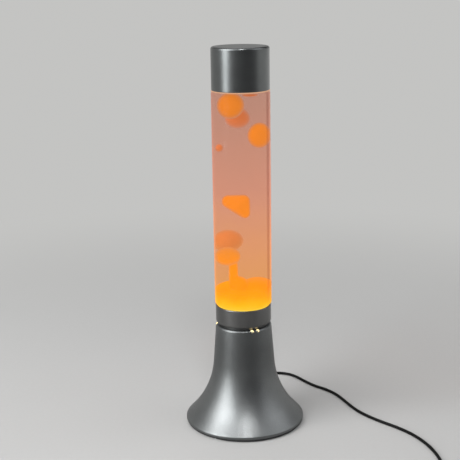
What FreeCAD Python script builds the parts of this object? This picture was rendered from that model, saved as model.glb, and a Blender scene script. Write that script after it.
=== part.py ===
import FreeCAD, Part
import math
import os

import Sketcher
from FreeCAD import Placement, Rotation, Vector

# A liquid motion lamp: a trumpet-shaped spun base that holds a small reflector bulb, a glass
# vessel of liquid and wax that stands in the base's mouth on a metal collar, and a lift-off cap.
# Millimetres, +Z up, with the origin on the lamp's axis at the surface that it stands on.
# The front of the lamp faces -Y.

# Driving sizes

SIZES = {
    # base shell
    "base_radius": 58.4,
    "shell_wall": 1.4,
    "lip_height": 2.4,
    "flare_angle": 43.1,
    "flare_straight": 5.8,
    "taper_angle": 4.3,
    "rim_height": 101.4,
    "rim_roll": 2.4,
    "rim_radius": 24.925,
    "mouth_radius": 24.3,
    "flange_width": 7.0,
    "vent_radius": 1.5,
    "vent_first_angle": 17.5,
    "vent_second_angle": 30.5,
    "vent_groups": 3.0,
    "vent_slope": 45.0,
    "vent_depth": 4.0,
    # base plate, its screws and its feet
    "plate_height": 1.0,
    "plate_thickness": 1.6,
    "plate_inset": 0.8,
    "plate_screws": 3.0,
    "screw_radius": 1.5,
    "screw_head_radius": 2.9,
    "screw_cross_reach": 1.8,
    "screw_cross_width": 0.81,
    "screw_cross_depth": 0.84,
    "plate_screw_length": 3.9,
    "slot_count": 16.0,
    "slot_width": 3.0,
    "slot_inner": 31.0,
    "slot_outer": 40.0,
    "foot_count": 4.0,
    "foot_radius": 5.5,
    "foot_height": 1.8,
    "foot_inset": 11.9,
    # lamp holder on its bracket
    "bracket_wall": 1.2,
    "bracket_width": 14.0,
    "bracket_half_span": 15.0,
    "bracket_foot": 10.0,
    "bracket_height": 11.4,
    "rivet_radius": 1.6,
    "rivet_head_radius": 3.0,
    "rivet_head_height": 0.9,
    "rivet_tail_height": 0.7,
    "rivet_tail_radius": 2.4,
    "nipple_radius": 5.0,
    "nipple_bore": 3.6,
    "nipple_length": 10.4,
    "nipple_rise": 6.0,
    "nut_flats": 13.0,
    "nut_height": 3.0,
    "holder_radius": 13.5,
    "holder_cup_height": 15.0,
    "holder_skirt_radius": 12.2,
    "holder_height": 33.0,
    "holder_floor": 11.0,
    "holder_wall": 2.5,
    "holder_edge": 1.0,
    "holder_step": 1.3,
    "chamber_wall": 4.0,
    "thread_sleeve_radius": 7.65,
    "thread_sleeve_wall": 0.55,
    "thread_sleeve_low": 1.5,
    "thread_sleeve_lip": 1.0,
    "contact_height": 1.0,
    "contact_sheet": 0.4,
    "contact_width": 4.0,
    "contact_pad": 2.6,
    "contact_inset": 0.6,
    # bulb
    "bulb_radius": 19.5,
    "bulb_clearance": 8.0,
    "bulb_glass": 0.8,
    "bulb_crown": 11.0,
    "bulb_flare_arc": 47.2,
    "bulb_rim": 3.0,
    "bulb_neck_depth": 6.0,
    "bulb_throat": 1.0,
    "bulb_throat_flare": 1.6,
    "bulb_throat_rise": 4.0,
    "bulb_throat_turn": 0.6,
    "bulb_cap_radius": 6.95,
    "bulb_cap_wall": 0.5,
    "bulb_cap_height": 19.0,
    "bulb_tip_height": 5.0,
    "bulb_tip_radius": 2.2,
    "bulb_tip_edge": 0.4,
    "bulb_tip_nose": 0.9,
    "bulb_tip_seat": 1.5,
    "stem_radius": 2.56,
    "stem_rise": 8.0,
    "filament_wire": 0.35,
    "filament_rise": 12.0,
    "filament_half": 6.0,
    "filament_bow": 2.5,
    "thread_start": 1.0,
    "thread_ridges": 5.0,
    "thread_pitch": 2.82,
    "thread_depth": 0.75,
    # glass vessel
    "collar_radius": 27.05,
    "collar_wall": 1.2,
    "collar_height": 20.0,
    "collar_chamfer": 3.6,
    "collar_seat_radius": 24.95,
    "collar_edge": 0.5,
    "heel_radius": 10.0,
    "heel_depth": 3.9,
    "foot_wall": 2.5,
    "glass_radius": 28.05,
    "glass_wall": 1.5,
    "glass_corner": 1.5,
    "glass_height": 208.6,
    "glass_step": 5.0,
    "foot_edge": 1.0,
    "shoulder_ramp": 4.5,
    "shoulder_ramp_low": 2.5,
    "land_height": 7.0,
    "shoulder_arc": 9.0,
    "neck_radius": 12.3,
    "neck_wall": 2.75,
    "neck_height": 6.2,
    "finish_radius": 13.3,
    "finish_height": 5.5,
    "liquid_drop": 5.0,
    # stopper
    "liner_thickness": 0.8,
    "crown_sheet": 0.35,
    "crown_skirt_radius": 16.0,
    "crown_skirt_height": 4.4,
    "crown_flute": 1.1,
    "crown_flutes": 21.0,
    "crown_edge": 1.0,
    "crown_overlap": 0.8,
    "crown_clearance": 0.05,
    "crown_corner": 0.4,
    "liner_inset": 0.4,
    # cap
    "cap_radius": 27.35,
    "cap_wall": 1.2,
    "cap_height": 40.0,
    "cap_edge": 2.2,
    "cap_clearance": 0.05,
    # wax
    "wax_depth": 16.1,
    "wire_ring_radius": 12.3,
    "wire_ring_thickness": 3.0,
    # cord and what is on it
    "cord_radius": 1.5,
    "core_radius": 0.7,
    "core_pitch_in_sheath": 1.47,
    "core_pitch_in_stud": 3.36,
    "relief_height": 8.6,
    "relief_root": 3.5,
    "relief_tip": 2.3,
    "relief_length": 20.0,
    "relief_ribs": 5.0,
    "rib_groove": 0.55,
    "rib_draft": 0.1,
    "relief_flange": 5.0,
    "relief_flange_thickness": 1.4,
    "relief_inside": 12.0,
    "coil_radius": 22.5,
    "coil_pitch": 3.45,
    "coil_columns": 3.0,
    "coil_layers": 4.0,
    "tie_thickness": 0.8,
    "tie_rounding": 0.72,
    "tie_width": 4.0,
    "tie_clearance": 0.25,
    "tie_seat": 0.03,
    "switch_length": 60.0,
    "switch_width": 22.0,
    "switch_split": 7.5,
    "switch_thickness": 15.0,
    "switch_edge": 2.0,
    "switch_floor": 3.6,
    "switch_screw_radius": 1.1,
    "switch_screw_x": 22.0,
    "switch_screw_y": 5.2,
    "switch_screw_sink": 0.3,
    "rocker_length": 14.8,
    "rocker_width": 9.6,
    "rocker_clearance": 0.35,
    "rocker_swing": 8.0,
    "rocker_foot": 5.0,
    "rocker_draft": 0.6,
    "rocker_drop": 3.6,
    "rocker_shoulder": 1.0,
    "rocker_rise": 5.6,
    "rocker_valley": 4.2,
    "pivot_radius": 1.2,
    "pivot_clearance": 0.05,
    "pivot_depth": 4.0,
    "pivot_reach": 2.0,
    "pivot_end_gap": 0.5,
    "rocker_mouth_gap": 1.2,
    "plug_width": 35.0,
    "plug_thickness": 13.6,
    "plug_length": 36.0,
    "plug_tail": 18.0,
    "plug_tail_root": 3.3,
    "plug_tail_tip": 2.4,
    "plug_ribs": 4.0,
    "pin_radius": 2.0,
    "pin_length": 19.0,
    "pin_spacing": 19.0,
    # cord inside the base
    "clamp_width": 16.0,
    "clamp_depth": 6.0,
    "clamp_bar": 2.4,
    "block_width": 17.0,
    "block_length": 17.0,
    "block_height": 10.0,
    "clamp_inset": 13.0,
    "clamp_saddle_top": 1.2,
    "clamp_saddle_foot": 2.2,
    "clamp_screw_radius": 1.9,
    "clamp_screw_head": 1.3,
    "clamp_screw_inset": 2.2,
    "sheath_stub": 2.0,
    "block_gap": 5.0,
    "block_web": 0.8,
    "block_groove": 0.4,
    "terminal_screw_radius": 1.6,
    "terminal_screw_head": 0.6,
    "terminal_screw_inset": 4.0,
    "wire_straight": 1.6,
}

PARTS_FOLDER = "parts"
TINY = 1e-9

doc = FreeCAD.newDocument("motion_lamp")
sheet = doc.addObject("Spreadsheet::Sheet", "sizes")
sheet_rows = []


def sheet_row(alias, content):
    """Writes one row of the sheet: what the size is called, and its number or its formula."""
    sheet_rows.append(alias)
    row = len(sheet_rows)
    sheet.set(f"A{row}", alias.replace("_", " "))
    sheet.set(f"B{row}", content)
    sheet.setAlias(f"B{row}", alias)


for alias, number in SIZES.items():
    sheet_row(alias, str(number))
doc.recompute()


class Size:
    """A number together with the sheet formula that gives it: what it shapes stays bound to the sheet."""

    def __init__(self, number, formula):
        self.number = number
        self.formula = formula

    def __add__(self, other):
        other = as_size(other)
        return Size(self.number + other.number, f"({self.formula} + {other.formula})")

    def __radd__(self, other):
        return as_size(other) + self

    def __sub__(self, other):
        other = as_size(other)
        return Size(self.number - other.number, f"({self.formula} - {other.formula})")

    def __rsub__(self, other):
        return as_size(other) - self

    def __mul__(self, other):
        other = as_size(other)
        return Size(self.number * other.number, f"({self.formula} * {other.formula})")

    def __rmul__(self, other):
        return as_size(other) * self

    def __truediv__(self, other):
        other = as_size(other)
        return Size(self.number / other.number, f"({self.formula} / {other.formula})")

    def __neg__(self):
        return Size(-self.number, f"(0 - {self.formula})")


def as_size(value):
    return value if isinstance(value, Size) else Size(float(value), f"({value})")


def size(alias):
    """The driving size of that name."""
    return Size(float(SIZES[alias]), f"sizes.{alias}")


def derived(alias, value):
    """A size that follows from others, kept in the sheet under its own name."""
    sheet_row(alias, "=" + value.formula.replace("sizes.", ""))
    return Size(value.number, f"sizes.{alias}")


def sine(angle):
    return Size(math.sin(math.radians(angle.number)), f"sin({angle.formula} * 1 deg)")


def cosine(angle):
    return Size(math.cos(math.radians(angle.number)), f"cos({angle.formula} * 1 deg)")


def tangent(angle):
    return Size(math.tan(math.radians(angle.number)), f"tan({angle.formula} * 1 deg)")


def root_of(value):
    return Size(math.sqrt(value.number), f"sqrt({value.formula})")


# Helpers that draw and build

NODES = []


def node(thing):
    """Marks an object as a piece of the lamp: its label names its file."""
    NODES.append(thing)
    return thing


def bind(thing, prop, value):
    """Binds one property to the sheet, or sets it where it is a plain number."""
    if isinstance(value, Size):
        thing.setExpression(prop, value.formula)
    else:
        setattr(thing, prop, value)


def origin_feature(body, role):
    for feature in body.Origin.OriginFeatures:
        if feature.Role == role:
            return feature
    raise RuntimeError(f"{body.Label} has no {role}")


def new_sketch(body, name, plane, offset=None):
    sketch = body.newObject("Sketcher::SketchObject", name)
    sketch.AttachmentSupport = (origin_feature(body, plane), [""])
    sketch.MapMode = "FlatFace"
    if offset is not None:
        offset = as_size(offset)
        sketch.AttachmentOffset = Placement(Vector(0, 0, offset.number), Rotation())
        sketch.setExpression(".AttachmentOffset.Base.z", offset.formula)
    return sketch


def hold_coordinate(sketch, edge, end, kind, value):
    """Holds a point's distance from one of the sketch's axes, by the sheet."""
    value = as_size(value)
    if abs(value.number) < TINY:
        axis = -2 if kind == "DistanceX" else -1
        sketch.addConstraint(Sketcher.Constraint("PointOnObject", edge, end, axis))
    else:
        row = sketch.addConstraint(Sketcher.Constraint(kind, -1, 1, edge, end, value.number))
        sketch.setExpression(f"Constraints[{row}]", value.formula)


def place_point(sketch, edge, end, across, up):
    """Holds one point of a sketch at its place."""
    hold_coordinate(sketch, edge, end, "DistanceX", across)
    hold_coordinate(sketch, edge, end, "DistanceY", up)


def arc_centre(start, stop, radius, turn):
    """The centre of an arc under a half circle. turn is 1 for anticlockwise travel and -1 for clockwise."""
    chord = stop - start
    rise = math.sqrt(max(radius**2 - (chord.Length / 2) ** 2, 0.0))
    left = Vector(-chord.y, chord.x, 0).normalize()
    return (start + stop) * 0.5 + left * (rise * turn)


def draw_outline(sketch, corners):
    """A closed outline. A corner is (across, up), or (across, up, radius, turn) where an arc leads on."""
    first = sketch.GeometryCount
    count = len(corners)
    points = [Vector(as_size(c[0]).number, as_size(c[1]).number, 0) for c in corners]
    ends = []
    for k, corner in enumerate(corners):
        start, stop = points[k], points[(k + 1) % count]
        if len(corner) == 2:
            sketch.addGeometry(Part.LineSegment(start, stop), False)
            ends.append((1, 2))
            continue
        radius, turn = as_size(corner[2]), corner[3]
        middle = arc_centre(start, stop, radius.number, turn)
        begin, finish = (start, stop) if turn > 0 else (stop, start)
        angles = [math.atan2(p.y - middle.y, p.x - middle.x) for p in (begin, finish)]
        circle = Part.Circle(middle, Vector(0, 0, 1), radius.number)
        sketch.addGeometry(Part.ArcOfCircle(circle, angles[0], angles[1]), False)
        ends.append((1, 2) if turn > 0 else (2, 1))
    for k in range(count):
        after = (k + 1) % count
        joint = Sketcher.Constraint("Coincident", first + k, ends[k][1], first + after, ends[after][0])
        sketch.addConstraint(joint)
    for k, corner in enumerate(corners):
        place_point(sketch, first + k, ends[k][0], corner[0], corner[1])
        if len(corner) == 2:
            continue
        radius = as_size(corner[2])
        chord = points[(k + 1) % count] - points[k]
        if chord.Length / 2 > radius.number - TINY:
            # a half circle is held by its centre, which lies half-way between its ends
            after = corners[(k + 1) % count]
            level = abs(chord.x) > abs(chord.y)
            half_way = (as_size(corner[level]) + after[level]) / 2
            hold_coordinate(sketch, first + k, 3, "DistanceY" if level else "DistanceX", half_way)
        else:
            row = sketch.addConstraint(Sketcher.Constraint("Radius", first + k, radius.number))
            sketch.setExpression(f"Constraints[{row}]", radius.formula)


def draw_circle(sketch, across, up, radius):
    radius = as_size(radius)
    centre = Vector(as_size(across).number, as_size(up).number, 0)
    edge = sketch.addGeometry(Part.Circle(centre, Vector(0, 0, 1), radius.number), False)
    place_point(sketch, edge, 3, across, up)
    row = sketch.addConstraint(Sketcher.Constraint("Radius", edge, radius.number))
    sketch.setExpression(f"Constraints[{row}]", radius.formula)


def rectangle(left, low, right, high):
    return [(left, low), (right, low), (right, high), (left, high)]


def new_body(label):
    return doc.addObject("PartDesign::Body", label)


def turned(label, corners, body=None):
    """A piece turned round the Z axis from its half outline, drawn as (radius, height)."""
    body = body or new_body(label)
    sketch = new_sketch(body, f"{label}_outline", "XZ_Plane")
    draw_outline(sketch, corners)
    spin = body.newObject("PartDesign::Revolution", f"{label}_turning")
    spin.Profile = sketch
    spin.ReferenceAxis = (sketch, ["V_Axis"])
    spin.Angle = 360
    body.Tip = spin
    return body


def pad(body, name, plane, offset, length, draw, symmetric=False):
    sketch = new_sketch(body, f"{name}_sketch", plane, offset)
    draw(sketch)
    feature = body.newObject("PartDesign::Pad", name)
    feature.Profile = sketch
    bind(feature, "Length", as_size(length))
    if symmetric:
        feature.SideType = "Symmetric"
    body.Tip = feature
    return feature


def pocket(body, name, plane, offset, length, draw, symmetric=False, reverse=False):
    """Cuts into the body from a sketch, and makes sure that something was cut."""
    doc.recompute()
    before = body.Shape.Volume
    sketch = new_sketch(body, f"{name}_sketch", plane, offset)
    draw(sketch)
    feature = body.newObject("PartDesign::Pocket", name)
    feature.Profile = sketch
    bind(feature, "Length", as_size(length))
    feature.Reversed = reverse
    if symmetric:
        feature.SideType = "Symmetric"
    body.Tip = feature
    doc.recompute()
    if body.Shape.Volume > before - TINY:
        raise RuntimeError(f"{name} cuts nothing from {body.Label}")
    return feature


def ring_of(body, name, originals, count, angle=360):
    """Repeats features round the Z axis."""
    pattern = body.newObject("PartDesign::PolarPattern", name)
    pattern.Originals = originals
    pattern.Axis = (origin_feature(body, "Z_Axis"), [""])
    bind(pattern, "Angle", as_size(angle))
    bind(pattern, "Occurrences", as_size(count))
    body.Tip = pattern
    return pattern


def place(thing, x=0.0, y=0.0, z=0.0, angle=0.0, axis=Vector(0, 0, 1)):
    """Puts a piece at its place, by the sheet where a size gives it."""
    values = [as_size(v) for v in (x, y, z)]
    thing.Placement = Placement(Vector(*[v.number for v in values]), Rotation(axis, angle))
    for name, value in zip("xyz", values):
        thing.setExpression(f".Placement.Base.{name}", value.formula)


def cylinder(label, radius, height, x=0.0, y=0.0, z=0.0):
    thing = doc.addObject("Part::Cylinder", label)
    bind(thing, "Radius", as_size(radius))
    bind(thing, "Height", as_size(height))
    place(thing, x, y, z)
    return thing


def fused(label, things):
    thing = doc.addObject("Part::MultiFuse", label)
    thing.Shapes = things
    return thing


def cut(label, base, tool):
    thing = doc.addObject("Part::Cut", label)
    thing.Base = base
    thing.Tool = tool
    return thing


def shared(label, one, other):
    thing = doc.addObject("Part::MultiCommon", label)
    thing.Shapes = [one, other]
    return thing


def shaped(label, shape, placement=None):
    """A piece whose shape is worked out here from the sheet's sizes."""
    thing = doc.addObject("Part::Feature", label)
    thing.Shape = shape
    if placement is not None:
        thing.Placement = placement
    return thing


def round_edges(body, name, edges, radius):
    rounded = body.Tip
    feature = body.newObject("PartDesign::Fillet", name)
    feature.Base = (rounded, edges)
    bind(feature, "Radius", as_size(radius))
    body.Tip = feature
    return feature


def level_edges(shape, height):
    """The names of the edges that lie flat at one height."""
    names = []
    for k, edge in enumerate(shape.Edges, start=1):
        box = edge.BoundBox
        if abs(box.ZMin - height) < 1e-4 and abs(box.ZMax - height) < 1e-4:
            names.append(f"Edge{k}")
    return names


# Heights and radii that several pieces share

shell_bottom = size("plate_height") + size("plate_thickness")
shell_inner_lip = size("base_radius") - size("shell_wall")
plate_top = shell_bottom
bracket_top = plate_top + size("bracket_height")
holder_top = bracket_top + size("holder_height")
holder_floor_top = bracket_top + size("holder_floor")
bulb_tip_low = holder_floor_top + size("contact_height")
bulb_cap_low = bulb_tip_low + size("bulb_tip_height")
bulb_cap_top = bulb_cap_low + size("bulb_cap_height")
collar_low = size("rim_height")
collar_top = collar_low + size("collar_height")
foot_radius_outer = size("collar_radius") - size("collar_wall")
foot_radius_inner = foot_radius_outer - size("foot_wall")
vessel_bottom = collar_low - size("heel_depth")
bulb_top = vessel_bottom - size("bulb_clearance")
heel_centre_radius = foot_radius_outer - size("heel_radius")
heel_centre_height = vessel_bottom + size("heel_radius")
vessel_floor = vessel_bottom + size("foot_wall")
glass_inner = size("glass_radius") - size("glass_wall")
glass_top = collar_top + size("glass_height")
land_radius = size("cap_radius") - size("cap_wall") - size("cap_clearance")
land_top = glass_top + size("land_height")
liquid_top = glass_top + size("liquid_drop")
shoulder_centre = land_radius - size("shoulder_arc")
neck_fillet = shoulder_centre - size("neck_radius")
neck_low = land_top + size("shoulder_arc") + neck_fillet
neck_top = neck_low + size("neck_height")
finish_top = neck_top + size("finish_height")
neck_bore = size("neck_radius") - size("neck_wall")
shoulder_inner = size("shoulder_arc") - size("neck_wall")
cap_top = glass_top + size("cap_height")
cap_inner = size("cap_radius") - size("cap_wall")


# Base shell: one spun sheet, with a turned-in flange below and a rolled rim at the mouth

def shell_outline():
    """The sheet's section, outside from the flange up to the mouth and inside back down."""
    flare, taper = size("flare_angle"), size("taper_angle")
    wall, roll = size("shell_wall"), size("rim_roll")
    radius = size("base_radius")
    lip_top = shell_bottom + size("lip_height")
    cone_top_radius = radius - size("flare_straight") * tangent(flare)
    cone_top = lip_top + size("flare_straight")
    roll_height = size("rim_height") - roll
    roll_radius = size("rim_radius")
    # one arc is tangent to the flare's cone and to the tapered throat, so its radius follows from them
    throat_reach = (roll_height + roll * sine(taper) - cone_top) * tangent(taper)
    reach = cone_top_radius - roll_radius - roll * cosine(taper) - throat_reach
    turn = cosine(taper) - cosine(flare) - (sine(flare) - sine(taper)) * tangent(taper)
    arc = derived("flare_arc", reach / turn)
    arc_centre_radius = cone_top_radius + arc * cosine(flare)
    arc_centre_height = cone_top + arc * sine(flare)
    arc_top_radius = arc_centre_radius - arc * cosine(taper)
    arc_top = arc_centre_height - arc * sine(taper)
    inner_arc = arc + wall
    inner_roll = roll - wall
    inner_cone_radius = arc_centre_radius - inner_arc * cosine(flare)
    inner_cone = arc_centre_height - inner_arc * sine(flare)
    inner_lip_top = inner_cone - (shell_inner_lip - inner_cone_radius) / tangent(flare)
    flange_inner = radius - size("flange_width")
    rim_under = size("rim_height") - wall
    return [
        (flange_inner, shell_bottom),
        (radius, shell_bottom),
        (radius, lip_top),
        (cone_top_radius, cone_top, arc, -1),
        (arc_top_radius, arc_top),
        (roll_radius + roll * cosine(taper), roll_height + roll * sine(taper), roll, 1),
        (roll_radius, size("rim_height")),
        (size("mouth_radius"), size("rim_height")),
        (size("mouth_radius"), rim_under),
        (roll_radius, rim_under, inner_roll, -1),
        (roll_radius + inner_roll * cosine(taper), roll_height + inner_roll * sine(taper)),
        (arc_centre_radius - inner_arc * cosine(taper), arc_centre_height - inner_arc * sine(taper), inner_arc, 1),
        (inner_cone_radius, inner_cone),
        (shell_inner_lip, inner_lip_top),
        (shell_inner_lip, shell_bottom + wall),
        (flange_inner, shell_bottom + wall),
    ], roll_radius, roll_height


def drill(body, name, radius, length, where, direction):
    """A round hole cut along a direction, centred on a point."""
    tool = body.newObject("PartDesign::SubtractiveCylinder", name)
    bind(tool, "Radius", as_size(radius))
    length = as_size(length)
    bind(tool, "Height", length)
    turn = Rotation(Vector(0, 0, 1), direction)
    tool.Placement = Placement(where - direction * (length.number / 2), turn)
    body.Tip = tool
    return tool


def make_base_shell():
    """The spun trumpet, its three pairs of vent holes in the rolled rim and the cord's hole."""
    outline, roll_radius, roll_height = shell_outline()
    body = turned("base_shell", outline)
    vent_slope = math.radians(size("vent_slope").number)
    reach = size("rim_roll").number - size("shell_wall").number / 2
    vents = []
    for name in ("vent_first_angle", "vent_second_angle"):
        bearing = math.radians(size(name).number - 90)
        out = Vector(math.cos(bearing), math.sin(bearing), 0)
        direction = out * math.cos(vent_slope) + Vector(0, 0, math.sin(vent_slope))
        where = out * roll_radius.number + Vector(0, 0, roll_height.number) + direction * reach
        vents.append(drill(body, f"rim_{name}", size("vent_radius"), size("vent_depth"), where, direction))
    ring_of(body, "vent_groups", vents, size("vent_groups"))
    cord_side = Vector(0, size("base_radius").number, size("relief_height").number)
    drill(body, "cord_hole", size("relief_root"), size("relief_inside") * 2, cord_side, Vector(0, 1, 0))

    def holes(sketch):
        draw_circle(sketch, size("base_radius") - size("flange_width") / 2, 0, size("screw_radius"))

    hole = pocket(body, "flange_hole", "XY_Plane", shell_bottom, size("shell_wall"), holes, reverse=True)
    ring_of(body, "flange_holes", [hole], size("plate_screws"))
    return node(body)


base_shell = make_base_shell()


# Base plate, its screws and the rubber feet

plate_radius = size("base_radius") - size("plate_inset")
screw_circle = size("base_radius") - size("flange_width") / 2
foot_diagonal = (size("base_radius") - size("foot_inset")) * sine(as_size(45))
rivet_place = size("bracket_half_span") + size("bracket_foot") / 2
clamp_height = size("relief_height") - size("cord_radius") - plate_top
clamp_near = size("base_radius") - size("clamp_inset")
foot_recess = size("foot_height") - size("plate_height")


def make_base_plate():
    body = new_body("base_plate")

    def disc(sketch):
        draw_circle(sketch, 0, 0, plate_radius)

    def recess(sketch):
        draw_circle(sketch, foot_diagonal, foot_diagonal, size("foot_radius"))

    def slot(sketch):
        half = size("slot_width") / 2
        inner, outer = size("slot_inner"), size("slot_outer")
        draw_outline(sketch, [(inner, -half), (outer, -half, half, 1), (outer, half), (inner, half, half, 1)])

    def rivet_holes(sketch):
        draw_circle(sketch, rivet_place, 0, size("rivet_radius"))
        draw_circle(sketch, -rivet_place, 0, size("rivet_radius"))

    def screw_hole(sketch):
        draw_circle(sketch, screw_circle, 0, size("screw_radius"))

    pad(body, "plate_disc", "XY_Plane", size("plate_height"), size("plate_thickness"), disc)

    def post(sketch):
        half = size("clamp_width") / 2
        draw_outline(sketch, rectangle(-half, clamp_near - size("clamp_depth"), half, clamp_near))

    pad(body, "clamp_post", "XY_Plane", plate_top, clamp_height, post)
    feet = pocket(body, "foot_recess", "XY_Plane", size("plate_height"), foot_recess, recess, reverse=True)
    ring_of(body, "foot_recesses", [feet], size("foot_count"))
    low = size("plate_height")
    slots = pocket(body, "air_slot", "XY_Plane", low, size("plate_thickness"), slot, reverse=True)
    ring_of(body, "air_slots", [slots], size("slot_count"))
    pocket(body, "rivet_holes", "XY_Plane", low, size("plate_thickness"), rivet_holes, reverse=True)
    hole = pocket(body, "screw_hole", "XY_Plane", low, size("plate_thickness"), screw_hole, reverse=True)
    sink = body.newObject("PartDesign::SubtractiveCone", "screw_sink")
    bind(sink, "Radius1", size("screw_head_radius"))
    bind(sink, "Radius2", size("screw_radius"))
    bind(sink, "Height", size("screw_head_radius") - size("screw_radius"))
    place(sink, screw_circle, 0, low)
    body.Tip = sink
    ring_of(body, "screw_holes", [hole, sink], size("plate_screws"))
    return node(body)


base_plate = make_base_plate()


def make_plate_screws():
    """Countersunk screws that hold the plate to the shell's flange, heads flush with the plate."""
    low = size("plate_height")
    head = size("screw_head_radius") - size("screw_radius")
    body = new_body("plate_screws")
    cone = body.newObject("PartDesign::AdditiveCone", "screw_head")
    bind(cone, "Radius1", size("screw_head_radius"))
    bind(cone, "Radius2", size("screw_radius"))
    bind(cone, "Height", head)
    place(cone, screw_circle, 0, low)
    body.Tip = cone
    shank = body.newObject("PartDesign::AdditiveCylinder", "screw_shank")
    bind(shank, "Radius", size("screw_radius"))
    bind(shank, "Height", size("plate_screw_length") - head)
    place(shank, screw_circle, 0, low + head)
    body.Tip = shank
    doc.recompute()

    def cross(sketch):
        arm, half = size("screw_cross_reach"), size("screw_cross_width") / 2
        draw_outline(
            sketch,
            [
                (screw_circle - arm, -half),
                (screw_circle - half, -half),
                (screw_circle - half, -arm),
                (screw_circle + half, -arm),
                (screw_circle + half, -half),
                (screw_circle + arm, -half),
                (screw_circle + arm, half),
                (screw_circle + half, half),
                (screw_circle + half, arm),
                (screw_circle - half, arm),
                (screw_circle - half, half),
                (screw_circle - arm, half),
            ],
        )

    recess = pocket(body, "driver_recess", "XY_Plane", low, size("screw_cross_depth"), cross, reverse=True)
    ring_of(body, "three_screws", [cone, shank, recess], size("plate_screws"))
    return node(body)


plate_screws = make_plate_screws()


def make_feet():
    body = new_body("rubber_feet")

    def disc(sketch):
        draw_circle(sketch, foot_diagonal, foot_diagonal, size("foot_radius"))

    foot = pad(body, "one_foot", "XY_Plane", 0, size("foot_height"), disc)
    ring_of(body, "four_feet", [foot], size("foot_count"))
    return node(body)


rubber_feet = make_feet()


# Bracket, rivets, hollow stud and nut that carry the lamp holder

def make_bracket():
    """A bent strap: two feet on the plate, two uprights and a bridge with the stud's hole."""
    wall, half, foot = size("bracket_wall"), size("bracket_half_span"), size("bracket_foot")
    body = new_body("holder_bracket")

    def strap(sketch):
        draw_outline(
            sketch,
            [
                (-half - foot, plate_top),
                (-half + wall, plate_top),
                (-half + wall, bracket_top - wall),
                (half - wall, bracket_top - wall),
                (half - wall, plate_top),
                (half + foot, plate_top),
                (half + foot, plate_top + wall),
                (half, plate_top + wall),
                (half, bracket_top),
                (-half, bracket_top),
                (-half, plate_top + wall),
                (-half - foot, plate_top + wall),
            ],
        )

    def stud_hole(sketch):
        draw_circle(sketch, 0, 0, size("nipple_radius"))

    def rivet_holes(sketch):
        draw_circle(sketch, rivet_place, 0, size("rivet_radius"))
        draw_circle(sketch, -rivet_place, 0, size("rivet_radius"))

    pad(body, "strap", "XZ_Plane", 0, size("bracket_width"), strap, symmetric=True)
    pocket(body, "stud_hole", "XY_Plane", bracket_top, wall, stud_hole)
    pocket(body, "bracket_rivet_holes", "XY_Plane", plate_top + wall, wall, rivet_holes)
    return node(body)


holder_bracket = make_bracket()


def rivet(name, side):
    """One rivet: domed head on the bracket, shank through both and a flat tail under the plate."""
    low = size("plate_height") - size("rivet_tail_height")
    grip_top = plate_top + size("bracket_wall")
    across = rivet_place * side
    tail = cylinder(f"{name}_tail", size("rivet_tail_radius"), size("rivet_tail_height"), across, 0, low)
    shank = cylinder(f"{name}_shank", size("rivet_radius"), grip_top - low, across, 0, low)
    head = doc.addObject("Part::Cone", f"{name}_head")
    bind(head, "Radius1", size("rivet_head_radius"))
    bind(head, "Radius2", size("rivet_radius"))
    bind(head, "Height", size("rivet_head_height"))
    place(head, across, 0, grip_top)
    return fused(name, [tail, shank, head])


bracket_rivets = node(doc.addObject("Part::Compound", "bracket_rivets"))
bracket_rivets.Links = [rivet("right_rivet", 1), rivet("left_rivet", -1)]

nipple_low = bracket_top + size("nipple_rise") - size("nipple_length")
holder_stud = node(
    turned(
        "holder_stud",
        [
            (size("nipple_bore"), nipple_low),
            (size("nipple_radius"), nipple_low),
            (size("nipple_radius"), nipple_low + size("nipple_length")),
            (size("nipple_bore"), nipple_low + size("nipple_length")),
        ],
    )
)


def make_nut():
    body = new_body("stud_nut")
    across = size("nut_flats") / 2 / cosine(as_size(30))
    low = bracket_top - size("bracket_wall") - size("nut_height")

    def hexagon(sketch):
        angles = [as_size(60 * k) for k in range(6)]
        draw_outline(sketch, [(across * cosine(a), across * sine(a)) for a in angles])
        draw_circle(sketch, 0, 0, size("nipple_radius"))

    pad(body, "nut_hexagon", "XY_Plane", low, size("nut_height"), hexagon)
    return node(body)


stud_nut = make_nut()


# Lamp holder: moulded body, threaded sleeve and centre contact

def make_holder():
    """A stepped moulding with a closed wiring chamber below and the bulb's well above."""
    base, wall, edge = bracket_top, size("holder_wall"), size("holder_edge")
    cup = base + size("holder_cup_height")
    chamber_top = holder_floor_top - wall
    return node(
        turned(
            "holder_body",
            [
                (size("nipple_radius"), base),
                (size("holder_radius") - edge, base),
                (size("holder_radius"), base + edge),
                (size("holder_radius"), cup),
                (size("holder_skirt_radius"), cup + size("holder_step")),
                (size("holder_skirt_radius"), holder_top),
                (size("thread_sleeve_radius"), holder_top),
                (size("thread_sleeve_radius"), holder_floor_top),
                (0, holder_floor_top),
                (0, chamber_top),
                (size("holder_radius") - size("chamber_wall"), chamber_top),
                (size("holder_radius") - size("chamber_wall"), base + size("nipple_rise")),
                (size("nipple_radius"), base + size("nipple_rise")),
            ],
        )
    )


holder_body = make_holder()
thread_inner = size("thread_sleeve_radius") - size("thread_sleeve_wall")
thread_sleeve = node(
    turned(
        "thread_sleeve",
        [
            (thread_inner, holder_floor_top + size("thread_sleeve_low")),
            (size("thread_sleeve_radius"), holder_floor_top + size("thread_sleeve_low")),
            (size("thread_sleeve_radius"), holder_top - size("thread_sleeve_lip")),
            (thread_inner, holder_top - size("thread_sleeve_lip")),
        ],
    )
)


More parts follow.
